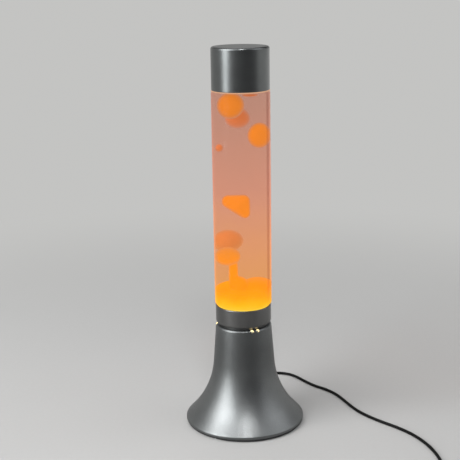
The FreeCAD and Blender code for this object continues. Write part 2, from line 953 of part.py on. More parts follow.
def make_contact():
    """The springy centre contact: a strip along the well's floor with a raised pad under the bulb's tip."""
    body = new_body("centre_contact")
    half = thread_inner - size("contact_inset")
    thick = size("contact_sheet")
    raised = size("contact_pad")

    def strip(sketch):
        draw_outline(
            sketch,
            [
                (-half, holder_floor_top),
                (half, holder_floor_top),
                (half, holder_floor_top + thick),
                (raised, holder_floor_top + size("contact_height")),
                (-raised, holder_floor_top + size("contact_height")),
                (-half, holder_floor_top + thick),
            ],
        )

    pad(body, "contact_strip", "XZ_Plane", 0, size("contact_width"), strip, symmetric=True)
    return node(body)


centre_contact = make_contact()


# Bulb: screw cap, insulated tip, reflector envelope, and the stem and filament inside it

# each ridge of the rolled thread is an arc of this share of the pitch
RIDGE_ROUNDNESS = 0.62


def make_bulb_cap():
    """A thin screw cap whose rolled thread is a row of round ridges."""
    outer, wall, pitch = size("bulb_cap_radius"), size("bulb_cap_wall"), size("thread_pitch")
    root = outer - size("thread_depth")
    first = bulb_cap_low + size("thread_start")
    ridges = int(size("thread_ridges").number)
    outline = [(root - wall, bulb_cap_low), (root, bulb_cap_low)]
    for k in range(ridges):
        outline.append((root, first + pitch * k, pitch * RIDGE_ROUNDNESS, 1))
    outline.append((root, first + pitch * ridges))
    outline.append((root, bulb_cap_top))
    outline.append((root - wall, bulb_cap_top))
    return node(turned("bulb_screw_cap", outline))


bulb_screw_cap = make_bulb_cap()
bulb_cap_inner = size("bulb_cap_radius") - size("thread_depth") - size("bulb_cap_wall")
stem_low = bulb_cap_low + size("bulb_tip_seat")
bulb_tip = node(
    turned(
        "bulb_tip",
        [
            (0, bulb_tip_low),
            (size("bulb_tip_radius"), bulb_tip_low),
            (size("bulb_tip_radius") + size("bulb_tip_edge"), bulb_tip_low + size("bulb_tip_nose")),
            (bulb_cap_inner, bulb_cap_low),
            (bulb_cap_inner, stem_low),
            (0, stem_low),
        ],
    )
)


def make_envelope():
    """The blown glass: a neck set in the cap, a flared reflector and a shallow domed front."""
    glass, radius, crown = size("bulb_glass"), size("bulb_radius"), size("bulb_crown")
    neck = bulb_cap_inner
    dome_low = bulb_top - crown
    # the dome's radius follows from its width and its rise
    dome = (radius * radius + crown * crown) / (crown * 2)
    inner_radius = radius - glass
    inner_crown = crown - glass
    inner_dome = (inner_radius * inner_radius + inner_crown * inner_crown) / (inner_crown * 2)
    neck_low = bulb_cap_top - size("bulb_neck_depth")
    throat = bulb_cap_top + size("bulb_throat")
    throat_top = throat + size("bulb_throat_rise")
    throat_radius = neck + size("bulb_throat_flare")
    turn = size("bulb_throat_turn")
    flare, rim_low = size("bulb_flare_arc"), dome_low - size("bulb_rim")
    outline = [
        (neck - glass, neck_low),
        (neck, neck_low),
        (neck, throat),
        (throat_radius, throat_top, flare, 1),
        (radius, rim_low),
        (radius, dome_low, dome, 1),
        (0, bulb_top),
        (0, bulb_top - glass, inner_dome, -1),
        (inner_radius, dome_low),
        (inner_radius, rim_low, flare, -1),
        (throat_radius - glass, throat_top + turn),
        (neck - glass, throat + glass / 2),
    ]
    return node(turned("bulb_envelope", outline))


bulb_envelope = make_envelope()
stem_top = bulb_cap_top + size("stem_rise")
bulb_stem = node(cylinder("bulb_stem", size("stem_radius"), stem_top - stem_low, 0, 0, stem_low))


# Paths for wires and cords

# how much of a run each of its two arcs may take
ARC_SHARE = 0.45


def rounded_path(points):
    """Straight runs joined by tangent arcs, each as large as its two runs allow: edges and radii."""
    edges, radii = [], []
    here = points[0]
    for k in range(1, len(points) - 1):
        corner = points[k]
        back, ahead = points[k - 1] - corner, points[k + 1] - corner
        reach = ARC_SHARE * min(back.Length, ahead.Length)
        half_turn = (math.pi - back.getAngle(ahead)) / 2
        radius = reach / math.tan(half_turn)
        back.normalize()
        ahead.normalize()
        start, stop = corner + back * reach, corner + ahead * reach
        inward = (back + ahead).normalize()
        middle = corner + inward * (radius / math.cos(half_turn) - radius)
        edges.append(Part.LineSegment(here, start).toShape())
        edges.append(Part.Arc(start, middle, stop).toShape())
        radii.append(radius)
        here = stop
    edges.append(Part.LineSegment(here, points[-1]).toShape())
    return edges, radii


def tube(path_edges, radius):
    """A round tube along a path, checked against its section times its length."""
    wire = Part.Wire(path_edges)
    start = path_edges[0].valueAt(path_edges[0].FirstParameter)
    heading = path_edges[0].tangentAt(path_edges[0].FirstParameter)
    section = Part.Wire([Part.Circle(start, heading, radius).toShape()])
    solid = wire.makePipeShell([section], True, False)
    expected = math.pi * radius**2 * wire.Length
    if abs(solid.Volume - expected) > 0.01 * expected:
        raise RuntimeError(f"a tube holds {solid.Volume:.1f} and not {expected:.1f} cubic millimetres")
    return solid


def free_cord(label, points, radius):
    edges, radii = rounded_path(points)
    length = sum(edge.Length for edge in edges)
    smallest = f", radii {min(radii):.1f} to {max(radii):.1f}" if radii else ""
    print(f"{label}: length {length:.1f}{smallest}")
    return node(shaped(label, tube(edges, radius)))


def make_filament():
    """Two lead wires out of the stem, and the filament that hangs between them in an arc."""
    wire, rise = size("filament_wire").number, size("filament_rise").number
    half, bow = size("filament_half").number, size("filament_bow").number
    # how far out the leads leave the stem, and how far up they bend, as shares
    lead_share, bend_share, coil_share = 0.6, 0.4, 1.4
    top = stem_top.number
    solids = []
    for side in (-1, 1):
        foot = Vector(side * size("stem_radius").number * lead_share, 0, top)
        bend = foot + Vector(0, 0, rise * bend_share)
        end = Vector(side * half, 0, top + rise)
        edges, _ = rounded_path([foot, bend, end])
        solids.append(tube(edges, wire))
    left, right = Vector(-half, 0, top + rise), Vector(half, 0, top + rise)
    crest = Vector(0, 0, top + rise + bow)
    arc = Part.Arc(left, crest, right).toShape()
    solids.append(tube([arc], wire * coil_share))
    return node(shaped("bulb_filament", solids[0].fuse(solids[1:])))


bulb_filament = make_filament()


# Cord inlet, clamp, terminal block and wires inside the base

relief_height = size("relief_height").number
base_back = size("base_radius").number
relief_tip_y = size("base_radius") + size("relief_flange_thickness") + size("relief_length")
relief_inner_y = size("base_radius") - size("relief_inside")


def make_relief():
    """A moulded sleeve through the shell: flange outside, tapered and grooved tail round the cord."""
    body = new_body("cord_relief")
    start = size("base_radius") + size("relief_flange_thickness")
    root, tip, length = size("relief_root"), size("relief_tip"), size("relief_length")
    bore = size("cord_radius")
    groove, draft = size("rib_groove"), size("rib_draft")
    ribs = int(size("relief_ribs").number)
    outline = [(bore, relief_inner_y), (root, relief_inner_y), (root, size("base_radius"))]
    outline.append((size("relief_flange"), size("base_radius")))
    outline.append((size("relief_flange"), start))
    step = length / (ribs * 2)
    for k in range(ribs):
        outer = root - (root - tip) * k / ribs
        near = start + step * (2 * k)
        outline.append((outer, near))
        outline.append((outer - draft, near + step))
        outline.append((outer - groove, near + step))
        outline.append((outer - groove - draft, near + step * 2))
    outline.append((bore, start + length))
    sketch = new_sketch(body, "relief_outline", "XY_Plane")
    draw_outline(sketch, outline)
    spin = body.newObject("PartDesign::Revolution", "relief_turning")
    spin.Profile = sketch
    spin.ReferenceAxis = (sketch, ["V_Axis"])
    spin.Angle = 360
    body.Tip = spin
    place(body, 0, 0, size("relief_height"))
    return node(body)


cord_relief = make_relief()

cord_radius = size("cord_radius").number
core_radius = size("core_radius").number
clamp_mid_y = clamp_near - size("clamp_depth") / 2
sheath_end_y = clamp_near - size("clamp_depth") - size("sheath_stub")
cord_inner = node(
    shaped(
        "cord_inner",
        tube(
            [
                Part.LineSegment(
                    Vector(0, relief_tip_y.number, relief_height), Vector(0, sheath_end_y.number, relief_height)
                ).toShape()
            ],
            cord_radius,
        ),
    )
)


def make_clamp():
    """A bar over the cord on the plate's post, with a half-round groove for the cord."""
    body = new_body("cord_clamp")
    half = size("clamp_width") / 2
    low = plate_top + clamp_height
    radius = size("cord_radius")
    saddle = radius * 2 + size("clamp_bar")
    foot, top = size("clamp_saddle_foot"), size("clamp_saddle_top")

    def bar(sketch):
        draw_outline(
            sketch,
            [
                (-half, low),
                (-radius, low),
                (-radius, low + radius, radius, -1),
                (radius, low + radius),
                (radius, low),
                (half, low),
                (half, low + size("clamp_bar")),
                (radius + foot, low + size("clamp_bar")),
                (radius + top, low + saddle),
                (-radius - top, low + saddle),
                (-radius - foot, low + size("clamp_bar")),
                (-half, low + size("clamp_bar")),
            ],
        )

    pad(body, "clamp_saddle", "XZ_Plane", -clamp_mid_y, size("clamp_depth"), bar, symmetric=True)
    return node(body)


cord_clamp = make_clamp()
clamp_screw_x = size("clamp_width") / 2 - size("clamp_screw_inset")


def clamp_screw(name, side):
    head_low = plate_top + clamp_height + size("clamp_bar")
    radius, head = size("clamp_screw_radius"), size("clamp_screw_head")
    return cylinder(name, radius, head, clamp_screw_x * side, clamp_mid_y, head_low)


clamp_screws = node(doc.addObject("Part::Compound", "clamp_screws"))
clamp_screws.Links = [clamp_screw("right_clamp_screw", 1), clamp_screw("left_clamp_screw", -1)]

block_far_y = sheath_end_y - size("block_gap")
block_near_y = block_far_y - size("block_length")
# where the wires run and where the towers begin, as shares of the block's height
BORE_SHARE = 0.42
SHOULDER_SHARE = 0.62
pole_x = size("block_width") / 4
pole_height = size("block_height") * BORE_SHARE


def make_terminal_block():
    """A two-pole block: a tower and a through bore for each wire, with a web between them."""
    body = new_body("terminal_block")
    tower = size("block_width") / 4 - size("block_groove")
    web = size("block_web")

    def section(sketch):
        half = size("block_width") / 2
        tall = plate_top + size("block_height")
        shoulder = plate_top + size("block_height") * SHOULDER_SHARE
        draw_outline(
            sketch,
            [
                (-half, plate_top),
                (half, plate_top),
                (half, shoulder),
                (pole_x + tower, tall),
                (pole_x - tower, tall),
                (web, shoulder),
                (-web, shoulder),
                (-pole_x + tower, tall),
                (-pole_x - tower, tall),
                (-half, shoulder),
            ],
        )

    def bores(sketch):
        draw_circle(sketch, pole_x, plate_top + pole_height, size("core_radius"))
        draw_circle(sketch, -pole_x, plate_top + pole_height, size("core_radius"))

    middle = (block_near_y + block_far_y) / 2
    pad(body, "block_section", "XZ_Plane", -middle, size("block_length"), section, symmetric=True)
    pocket(body, "wire_bores", "XZ_Plane", -middle, size("block_length"), bores, symmetric=True)
    return node(body)


terminal_block = make_terminal_block()


def terminal_screw(name, side, along):
    radius, head = size("terminal_screw_radius"), size("terminal_screw_head")
    return cylinder(name, radius, head, pole_x * side, along, plate_top + size("block_height"))


terminal_screws = node(doc.addObject("Part::Compound", "terminal_screws"))
terminal_screws.Links = [
    terminal_screw("live_near", 1, block_near_y + size("terminal_screw_inset")),
    terminal_screw("live_far", 1, block_far_y - size("terminal_screw_inset")),
    terminal_screw("neutral_near", -1, block_near_y + size("terminal_screw_inset")),
    terminal_screw("neutral_far", -1, block_far_y - size("terminal_screw_inset")),
]


def make_wires():
    """Two insulated cores, from the cord's sheath through the terminal block and up the hollow stud."""
    wire_height = (plate_top + pole_height).number
    chamber = (holder_floor_top - size("holder_wall")).number
    straight = size("wire_straight").number
    # the two cores lie side by side in the sheath and again in the hollow stud
    in_sheath = size("core_pitch_in_sheath").number / 2
    in_stud = size("core_pitch_in_stud").number / 2
    solids = []
    for side in (-1, 1):
        x = side * pole_x.number
        near_sheath = [
            Vector(side * in_sheath, sheath_end_y.number, relief_height),
            Vector(side * in_sheath, sheath_end_y.number - straight, relief_height),
            Vector(x, block_far_y.number + straight, wire_height),
            Vector(x, block_far_y.number, wire_height),
        ]
        beyond_block = [
            Vector(x, block_near_y.number, wire_height),
            Vector(x, block_near_y.number - straight * 2, wire_height),
            Vector(side * in_stud, straight * 2, wire_height - core_radius),
            Vector(side * in_stud, 0.0, nipple_low.number + straight),
            Vector(side * in_stud, 0.0, chamber),
        ]
        for points in (near_sheath, beyond_block):
            edges, _ = rounded_path(points)
            solids.append(tube(edges, core_radius))
    return node(shaped("lamp_wires", Part.makeCompound(solids)))


lamp_wires = make_wires()


# Glass vessel: drawn-in foot with a rounded heel, straight wall, drawn-in shoulder and bottle neck

step_top = collar_top + size("glass_step")
foot_inner_top = collar_top - size("foot_edge")
shoulder_low = glass_top - size("shoulder_ramp_low")
shoulder_high = shoulder_low + size("shoulder_ramp")
wall_at_land = shoulder_centre + shoulder_inner


def vessel_outline():
    corner = size("glass_corner")
    heel_inner = size("heel_radius") - size("foot_wall")
    return [
        (0, vessel_bottom),
        (heel_centre_radius, vessel_bottom, size("heel_radius"), 1),
        (foot_radius_outer, heel_centre_height),
        (foot_radius_outer, collar_top),
        (size("glass_radius") - corner, collar_top, corner, 1),
        (size("glass_radius"), collar_top + corner),
        (size("glass_radius"), glass_top - corner, corner, 1),
        (size("glass_radius") - corner, glass_top),
        (land_radius, glass_top),
        (land_radius, land_top, size("shoulder_arc"), 1),
        (shoulder_centre, land_top + size("shoulder_arc"), neck_fillet, -1),
        (size("neck_radius"), neck_low),
        (size("neck_radius"), neck_top),
        (size("finish_radius"), neck_top),
        (size("finish_radius"), finish_top),
        (neck_bore, finish_top),
        (neck_bore, neck_low, neck_fillet + size("neck_wall"), 1),
        (shoulder_centre, land_top + shoulder_inner, shoulder_inner, -1),
        (wall_at_land, land_top),
        (wall_at_land, shoulder_high),
        (glass_inner, shoulder_low),
        (glass_inner, step_top),
        (foot_radius_inner, foot_inner_top),
        (foot_radius_inner, heel_centre_height, heel_inner, -1),
        (heel_centre_radius, vessel_floor),
        (0, vessel_floor),
    ]


glass_vessel = node(turned("glass_vessel", vessel_outline()))


def make_collar():
    """A spun ring round the vessel's foot: it wraps the glass heel, and stands on the base's rim."""
    heel, low = size("heel_radius"), collar_low
    drop = heel_centre_height - low
    heel_at_low = heel_centre_radius + root_of(heel * heel - drop * drop)
    return node(
        turned(
            "collar",
            [
                (heel_at_low, low),
                (size("collar_seat_radius"), low),
                (size("collar_radius"), low + size("collar_chamfer")),
                (size("collar_radius"), collar_top - size("collar_edge")),
                (size("collar_radius") - size("collar_edge"), collar_top),
                (foot_radius_outer, collar_top),
                (foot_radius_outer, heel_centre_height, heel, -1),
            ],
        )
    )


collar = make_collar()


# Stopper: a pressed crown with fluted skirt, and the sealing disc under it

liner_top = finish_top + size("liner_thickness")
liner_radius = size("finish_radius") - size("liner_inset")
crown_liner = node(
    cylinder("crown_liner", liner_radius, size("liner_thickness"), 0, 0, finish_top)
)


def fluted_ring(peak, valley, height, lobes):
    """A closed wave of arcs: each lobe is one outward arc and one inward arc."""
    half_step = math.pi / lobes
    edges = []
    for k in range(lobes * 2):
        outward = k % 2 == 0
        start, middle, stop = half_step * (k - 0.5), half_step * k, half_step * (k + 0.5)
        between = (peak + valley) / 2
        crest = peak if outward else valley
        points = [
            Vector(r * math.cos(a), r * math.sin(a), height)
            for r, a in ((between, start), (crest, middle), (between, stop))
        ]
        edges.append(Part.Arc(*points).toShape())
    return Part.Wire(edges)


NEARLY_ROUND = 0.02


def skirt_cone(top_radius, top, peak, valley, low, lobes):
    # the upper ring is all but round, with as many arcs as the lower, so that the two can be joined
    upper = fluted_ring(top_radius + NEARLY_ROUND, top_radius - NEARLY_ROUND, top, lobes)
    lower = fluted_ring(peak, valley, low, lobes)
    return Part.makeLoft([upper, lower], True, True)


def make_crown():
    """The crown's top is a turned dish, and its skirt is lofted from a ring to its flutes."""
    thick = size("crown_sheet").number
    lobes = int(size("crown_flutes").number)
    bead = size("finish_radius").number + size("crown_clearance").number
    top = liner_top.number + thick
    skirt_top = liner_top.number - size("crown_overlap").number
    low = skirt_top - size("crown_skirt_height").number
    peak = size("crown_skirt_radius").number
    valley = peak - size("crown_flute").number
    outside = skirt_cone(bead + thick, skirt_top, peak, valley, low, lobes)
    inside = skirt_cone(bead, skirt_top, peak - thick, valley - thick, low, lobes)
    skirt = outside.cut(inside)
    edge, corner = size("crown_edge").number, size("crown_corner").number
    profile = [
        Vector(0, 0, top),
        Vector(bead + thick - edge, 0, top),
        Vector(bead + thick, 0, top - edge),
        Vector(bead + thick, 0, skirt_top),
        Vector(bead, 0, skirt_top),
        Vector(bead, 0, liner_top.number - corner),
        Vector(bead - corner, 0, liner_top.number),
        Vector(0, 0, liner_top.number),
    ]
    face = Part.Face(Part.makePolygon(profile + [profile[0]]))
    dish = face.revolve(Vector(0, 0, 0), Vector(0, 0, 1), 360)
    return node(shaped("crown_stopper", dish.fuse(skirt)))


crown_stopper = make_crown()


# Cap: a spun cup with a rounded top edge, which slips over the shoulder's land

def make_cap():
    radius, edge, wall = size("cap_radius"), size("cap_edge"), size("cap_wall")
    return node(
        turned(
            "cap",
            [
                (cap_inner, glass_top),
                (radius, glass_top),
                (radius, cap_top - edge, edge, 1),
                (radius - edge, cap_top),
                (0, cap_top),
                (0, cap_top - wall),
                (radius - edge, cap_top - wall, edge - wall, -1),
                (cap_inner, cap_top - edge),
            ],
        )
    )


cap = make_cap()


# Wax and liquid

# Each piece of wax: its centre (right, back, up), its radius and its half height. The centre's
# height is a share of the glass's straight height, above the collar's top, and all the rest are
# shares of the glass's radius.
DROPS = {
    "wax_drop_top": [(-0.3351, -0.3922, 0.93384), 0.4100, 0.4100],
    "wax_drop_high": [(-0.1319, 0.3351, 0.86865), 0.3672, 0.3565],
    "wax_film": [(0.3066, 0.3209, 0.97220), 0.2995, 0.0998],
    "wax_drop_right": [(0.6061, -0.0357, 0.79338), 0.3316, 0.4171],
    "wax_drop_small": [(-0.7522, 0.1783, 0.73346), 0.1533, 0.1533],
    "wax_drop_low": [(-0.4777, 0.3636, 0.29530), 0.3351, 0.2995],
}
# The drop in the middle is five that have run together
JOINING_DROPS = [
    [(-0.4385, -0.3209, 0.50144), 0.2460, 0.2139],
    [(0.0392, -0.3209, 0.50144), 0.2460, 0.2175],
    [(0.0749, -0.3209, 0.44871), 0.2103, 0.2210],
    [(-0.1640, -0.3209, 0.48322), 0.3351, 0.3209],
    [(-0.0214, -0.3209, 0.46117), 0.2674, 0.2745],
    [(-0.4421, -0.3209, 0.47747), 0.1747, 0.1640],
]
# What stands up from the pool of wax: a mound on the right, and a rising column with its head
POOL_MOUND = [(0.4635, 0.0000, 0.05369), 0.6774, 0.4991]
COLUMN_HEAD = [(-0.4848, -0.2317, 0.23778), 0.3993, 0.2995]
COLUMN_FOOT = [(-0.1212, -0.2496, 0.09636), 0.3066, 0.3209]
# how far the ovals are eased from an ellipse towards a circle
ROUNDING = 0.15
COLUMN_RADIUS = 0.1676
COLUMN_PLACE = (-0.3280, -0.2496)


def wax_place(right, back, up):
    """A place in the vessel, from its shares of the glass's radius and of its straight height."""
    radius = size("glass_radius")
    return radius * right, radius * back, collar_top + size("glass_height") * up


def drop(name, centre, radius_share, height_share):
    """An oval of revolution: its half outline is three tangent arcs, or a half circle for a ball."""
    radius = derived(f"{name}_radius", size("glass_radius") * radius_share)
    half_height = derived(f"{name}_half_height", size("glass_radius") * height_share)
    if abs(radius_share - height_share) < TINY:
        side = pole = radius
        across = radius * root_of(as_size(0.5))
        up = -across
    else:
        # the side's arc is that of an ellipse there, eased a little towards a circle
        ellipse_side = half_height * half_height / radius
        side = derived(f"{name}_side", ellipse_side * (1 - ROUNDING) + radius * ROUNDING)
        squares = radius * radius + half_height * half_height
        pole = derived(f"{name}_pole", (squares - radius * side * 2) / ((half_height - side) * 2))
        share = pole / (pole - side)
        across = derived(f"{name}_across", (radius - side) * share)
        up = derived(f"{name}_up", (pole - half_height) * (1 - share))
    outline = [(0, -half_height, pole, 1), (across, up, side, 1), (across, -up, pole, 1), (0, half_height)]
    body = turned(name, outline)
    place(body, *wax_place(*centre))
    return body


drops = [node(drop(name, *shares)) for name, shares in DROPS.items()]
joining = [drop(f"joining_{k}", *shares) for k, shares in enumerate(JOINING_DROPS)]
middle_drop = node(fused("wax_drop_middle", joining))
wax_level = collar_top + size("wax_depth")


def cavity_outline(top, top_radius):
    """The vessel's inside, up to a height in the straight wall or under the land."""
    heel_inner = size("heel_radius") - size("foot_wall")
    outline = [
        (0, vessel_floor),
        (heel_centre_radius, vessel_floor, heel_inner, 1),
        (foot_radius_inner, heel_centre_height),
        (foot_radius_inner, foot_inner_top),
        (glass_inner, step_top),
    ]
    if top_radius is wall_at_land:
        outline += [(glass_inner, shoulder_low), (wall_at_land, shoulder_high)]
    return outline + [(top_radius, top), (0, top)]


pool_fill = turned("pool_fill", cavity_outline(wax_level, glass_inner))
filling = turned("filling", cavity_outline(liquid_top, wall_at_land))
wire_ring_height = vessel_floor + size("wire_ring_thickness")
wire_ring = node(doc.addObject("Part::Torus", "wire_ring"))
bind(wire_ring, "Radius1", size("wire_ring_radius"))
bind(wire_ring, "Radius2", size("wire_ring_thickness"))
place(wire_ring, 0, 0, wire_ring_height)

column_low = wax_level - size("wax_depth") * 0.25
column_x, column_y, column_top = wax_place(*COLUMN_PLACE, COLUMN_HEAD[0][2])
column_radius = size("glass_radius") * COLUMN_RADIUS
column_rise = column_top - column_low
column_shaft = cylinder("column_shaft", column_radius, column_rise, column_x, column_y, column_low)
pool_mound = shared("pool_mound", drop("pool_mound_oval", *POOL_MOUND), filling)
pool_rise = fused(
    "pool_rise",
    [
        pool_fill,
        pool_mound,
        drop("column_foot", *COLUMN_FOOT),
        drop("column_head", *COLUMN_HEAD),
        column_shaft,
    ],
)
wax_pool = node(cut("wax_pool", pool_rise, wire_ring))
all_wax = fused("all_wax", [pool_rise, middle_drop, *drops])
liquid = node(cut("liquid", filling, all_wax))


# Free cord. Its points are the route's own: out of the relief, down to the surface behind the
# base, round to the right and forward, as far as the switch.

CORD_ROUTE = [
    (0.0, 79.8, 8.6),
    (0.0, 88.5, 8.6),
    (3.0, 98.5, 5.2),
    (10.5, 107.0, 2.2),
    (23.0, 111.6, 1.5),
    (36.0, 112.0, 1.5),
    (48.5, 109.0, 1.5),
    (58.0, 99.5, 1.5),
    (66.0, 86.5, 1.5),
    (75.5, 74.0, 1.5),
    (86.5, 65.0, 1.5),
    (95.5, 53.0, 1.5),
    (102.0, 39.0, 1.5),
    (107.5, 24.0, 1.5),
    (114.5, 8.5, 1.5),
    (124.5, -6.0, 1.5),
    (136.5, -19.0, 1.5),
    (149.5, -31.5, 1.5),
    (161.0, -46.0, 1.5),
    (169.5, -62.5, 1.5),
    (175.0, -80.0, 1.5),
    (178.0, -98.0, 1.5),
    (177.5, -114.0, 1.8),
    (172.5, -128.0, 3.5),
    (162.0, -137.0, 5.8),
    (150.0, -140.0, 6.6),
]
SWITCH_PLACE = (120.0, -140.0)
CORD_IN_SWITCH = 6.6

cord_run = free_cord("cord_run", [Vector(*point) for point in CORD_ROUTE], cord_radius)

# Coil of the length that is put away, wound from its outer turn in and out again, layer on layer

coil_outer = size("coil_radius").number
coil_pitch = size("coil_pitch").number
coil_columns = int(size("coil_columns").number)
coil_layers = int(size("coil_layers").number)
coil_low = size("tie_thickness").number + cord_radius
COIL_CENTRE_X = 50.0
coil_centre_y = SWITCH_PLACE[1] - coil_outer


def coil_point(out, height):
    """A point on the line through the coil's middle: out is positive at the back and negative at the front."""
    return Vector(COIL_CENTRE_X, coil_centre_y + out, height)


def half_loop(start, stop, side):
    """A half circle between two points, bulging to the left (-1) or the right (1)."""
    middle = (start + stop) * 0.5
    bulge = Vector(side, 0, 0) * ((stop - start).Length / 2)
    return Part.Arc(start, middle + bulge, stop).toShape()


def make_coil():
    """Half circles: the left ones change the radius, the right ones keep it or climb to the next layer."""
    lead = cord_radius * 2
    height = coil_low
    out = coil_outer
    here = coil_point(out, height)
    edges = [Part.LineSegment(here + Vector(lead, 0, 0), here).toShape()]
    inward = 1
    for layer in range(coil_layers):
        for column in range(coil_columns):
            front = coil_point(-(out - inward * coil_pitch), height)
            edges.append(half_loop(here, front, -1))
            out -= inward * coil_pitch
            climbs = column == coil_columns - 1 and layer < coil_layers - 1
            height += coil_pitch if climbs else 0.0
            here = coil_point(out, height)
            edges.append(half_loop(front, here, 1))
        inward = -inward
    edges.append(Part.LineSegment(here, here - Vector(lead, 0, 0)).toShape())
    solid = tube(edges, cord_radius)
    length = sum(edge.Length for edge in edges)
    print(f"cord_coil: length {length:.1f}, least gap to itself {least_gap(edges):.2f}")
    return node(shaped("cord_coil", solid)), here - Vector(lead, 0, 0)


def least_gap(edges):
    """The least gap between turns, measured on points along the coil's middle line."""
    spacing = 2.0
    samples, along = [], 0.0
    for edge in edges:
        steps = max(2, int(edge.Length / spacing))
        for k in range(steps):
            share = edge.FirstParameter + (edge.LastParameter - edge.FirstParameter) * k / steps
            samples.append((along + edge.Length * k / steps, edge.valueAt(share)))
        along += edge.Length
    least = float("inf")
    for i, (here_along, here) in enumerate(samples):
        for there_along, there in samples[i + 1 :]:
            if there_along - here_along > 6 * cord_radius:
                least = min(least, here.distanceToPoint(there))
    return least - 2 * cord_radius


cord_coil, coil_end = make_coil()
switch_end_x = SWITCH_PLACE[0] - size("switch_length").number / 2
coil_start = coil_point(coil_outer, coil_low) + Vector(2 * cord_radius, 0, 0)
LINK_MIDDLE = [(81.0, -139.4, 5.9), (69.0, -139.5, 3.4), (60.5, -139.9, 2.4)]
link_points = [Vector(switch_end_x, SWITCH_PLACE[1], CORD_IN_SWITCH)]
link_points += [Vector(*point) for point in LINK_MIDDLE]
link_points += [coil_start]
cord_link = free_cord("cord_link", link_points, cord_radius)

plug_height = size("plug_thickness").number / 2
PLUG_BACK_X = 8.0
TAIL_MIDDLE = [(37.5, -139.8, 12.2), (28.0, -139.4, 9.6), (18.5, -140.0, 6.8)]
tail_points = [coil_end]
tail_points += [Vector(*point) for point in TAIL_MIDDLE]
tail_points += [Vector(PLUG_BACK_X, SWITCH_PLACE[1], plug_height)]
cord_tail = free_cord("cord_tail", tail_points, cord_radius)


# an edge this near to running along a direction counts as running along it
NEARLY_ONE = 0.99


def tie(side):
    """A band round the coil's bundle of turns, on the left (-1) or the right (1)."""
    thick, gap = size("tie_thickness").number, size("tie_clearance").number
    width = size("tie_width").number
    narrow = coil_outer - coil_columns * coil_pitch
    outer_turn = coil_outer - coil_pitch / 2 if side < 0 else coil_outer
    inner_turn = narrow + coil_pitch / 2 if side < 0 else narrow
    # the left half loops are centred half a pitch off the coil's middle
    aside = width / 2 + (coil_pitch / 2 if side < 0 else 0)
    near = math.sqrt((inner_turn - cord_radius) ** 2 - aside**2) - gap
    far = outer_turn + cord_radius + gap
    seat = size("tie_seat").number
    top = coil_low + coil_pitch * (coil_layers - 1) + cord_radius + gap
    inside = Part.makeBox(far - near, width, top - thick + seat, Vector(near, -width / 2, thick - seat))
    outside = Part.makeBox(
        far - near + 2 * thick, width, top + thick, Vector(near - thick, -width / 2, 0)
    )
    long_edges = [e for e in outside.Edges if abs(e.tangentAt(e.FirstParameter).y) > NEARLY_ONE]
    rounded = outside.makeFillet(size("tie_rounding").number, long_edges)
    band = rounded.cut(inside)
    band.rotate(Vector(0, 0, 0), Vector(0, 0, 1), 0 if side > 0 else 180)
    band.translate(Vector(COIL_CENTRE_X, coil_centre_y, 0))
    return band


cord_ties = node(shaped("cord_ties", Part.makeCompound([tie(-1), tie(1)])))


# Switch on the cord: two shells, the rocker on its pivot, and two screws

switch_half_length = size("switch_length") / 2
switch_half_width = size("switch_width") / 2
rocker_half = size("rocker_length") / 2
rocker_gap = size("rocker_clearance")
rocker_mouth = rocker_half + size("rocker_mouth_gap")
rocker_side = size("rocker_width") / 2
pivot_height = size("switch_thickness") - size("pivot_depth")
switch_screw_x = size("switch_screw_x")
switch_screw_y = size("switch_screw_y")


def switch_plan(sketch):
    """The switch from above: straight sides, and each rounded end as two quarter arcs."""
    half = switch_half_width
    straight = switch_half_length - half
    draw_outline(
        sketch,
        [
            (-straight, -half),
            (straight, -half, half, 1),
            (straight + half, 0, half, 1),
            (straight, half),
            (-straight, half, half, 1),
            (-straight - half, 0, half, 1),
        ],
    )


def switch_shell(label, low, high, rounded_height):
    body = new_body(label)
    pad(body, f"{label}_block", "XY_Plane", low, high - low, switch_plan)
    doc.recompute()
    edges = level_edges(body.Shape, rounded_height.number)
    round_edges(body, f"{label}_edge", edges, size("switch_edge"))
    doc.recompute()
    return body


def cord_way(body, name):
    """The round way through the shells for the cord, along their length."""

    def bore(sketch):
        draw_circle(sketch, 0, CORD_IN_SWITCH, size("cord_radius"))

    pocket(body, name, "YZ_Plane", 0, size("switch_length") + 2, bore, symmetric=True)


def rocker_well(body, name, low, high):
    def opening(sketch):
        side = rocker_side + rocker_gap
        draw_outline(sketch, rectangle(-rocker_mouth, -side, rocker_mouth, side))

    pocket(body, name, "XY_Plane", low, high - low, opening, reverse=True)


def screw_ways(body, name, low, high, radius):
    def holes(sketch):
        draw_circle(sketch, switch_screw_x, switch_screw_y, radius)
        draw_circle(sketch, -switch_screw_x, -switch_screw_y, radius)

    pocket(body, name, "XY_Plane", low, high - low, holes, reverse=True)


def seat_on_cord(thing):
    place(thing, SWITCH_PLACE[0], SWITCH_PLACE[1], 0)
    return node(thing)


def make_switch_lower():
    low, high = as_size(0), size("switch_split")
    body = switch_shell("switch_lower", low, high, low)
    cord_way(body, "lower_cord_way")
    rocker_well(body, "lower_well", size("switch_floor"), high)
    screw_ways(body, "lower_screw_ways", low, high, size("switch_screw_radius"))
    return seat_on_cord(body)


def make_switch_upper():
    low, high = size("switch_split"), size("switch_thickness")
    body = switch_shell("switch_upper", low, high, high)
    cord_way(body, "upper_cord_way")
    rocker_well(body, "upper_well", low, high)

    def pivot(sketch):
        draw_circle(sketch, 0, pivot_height, size("pivot_radius") + size("pivot_clearance"))

    bores = size("rocker_width") + (size("pivot_reach") + size("pivot_end_gap")) * 2
    pocket(body, "pivot_bores", "XZ_Plane", 0, bores, pivot, symmetric=True)
    return seat_on_cord(body)


switch_lower = make_switch_lower()
switch_upper = make_switch_upper()


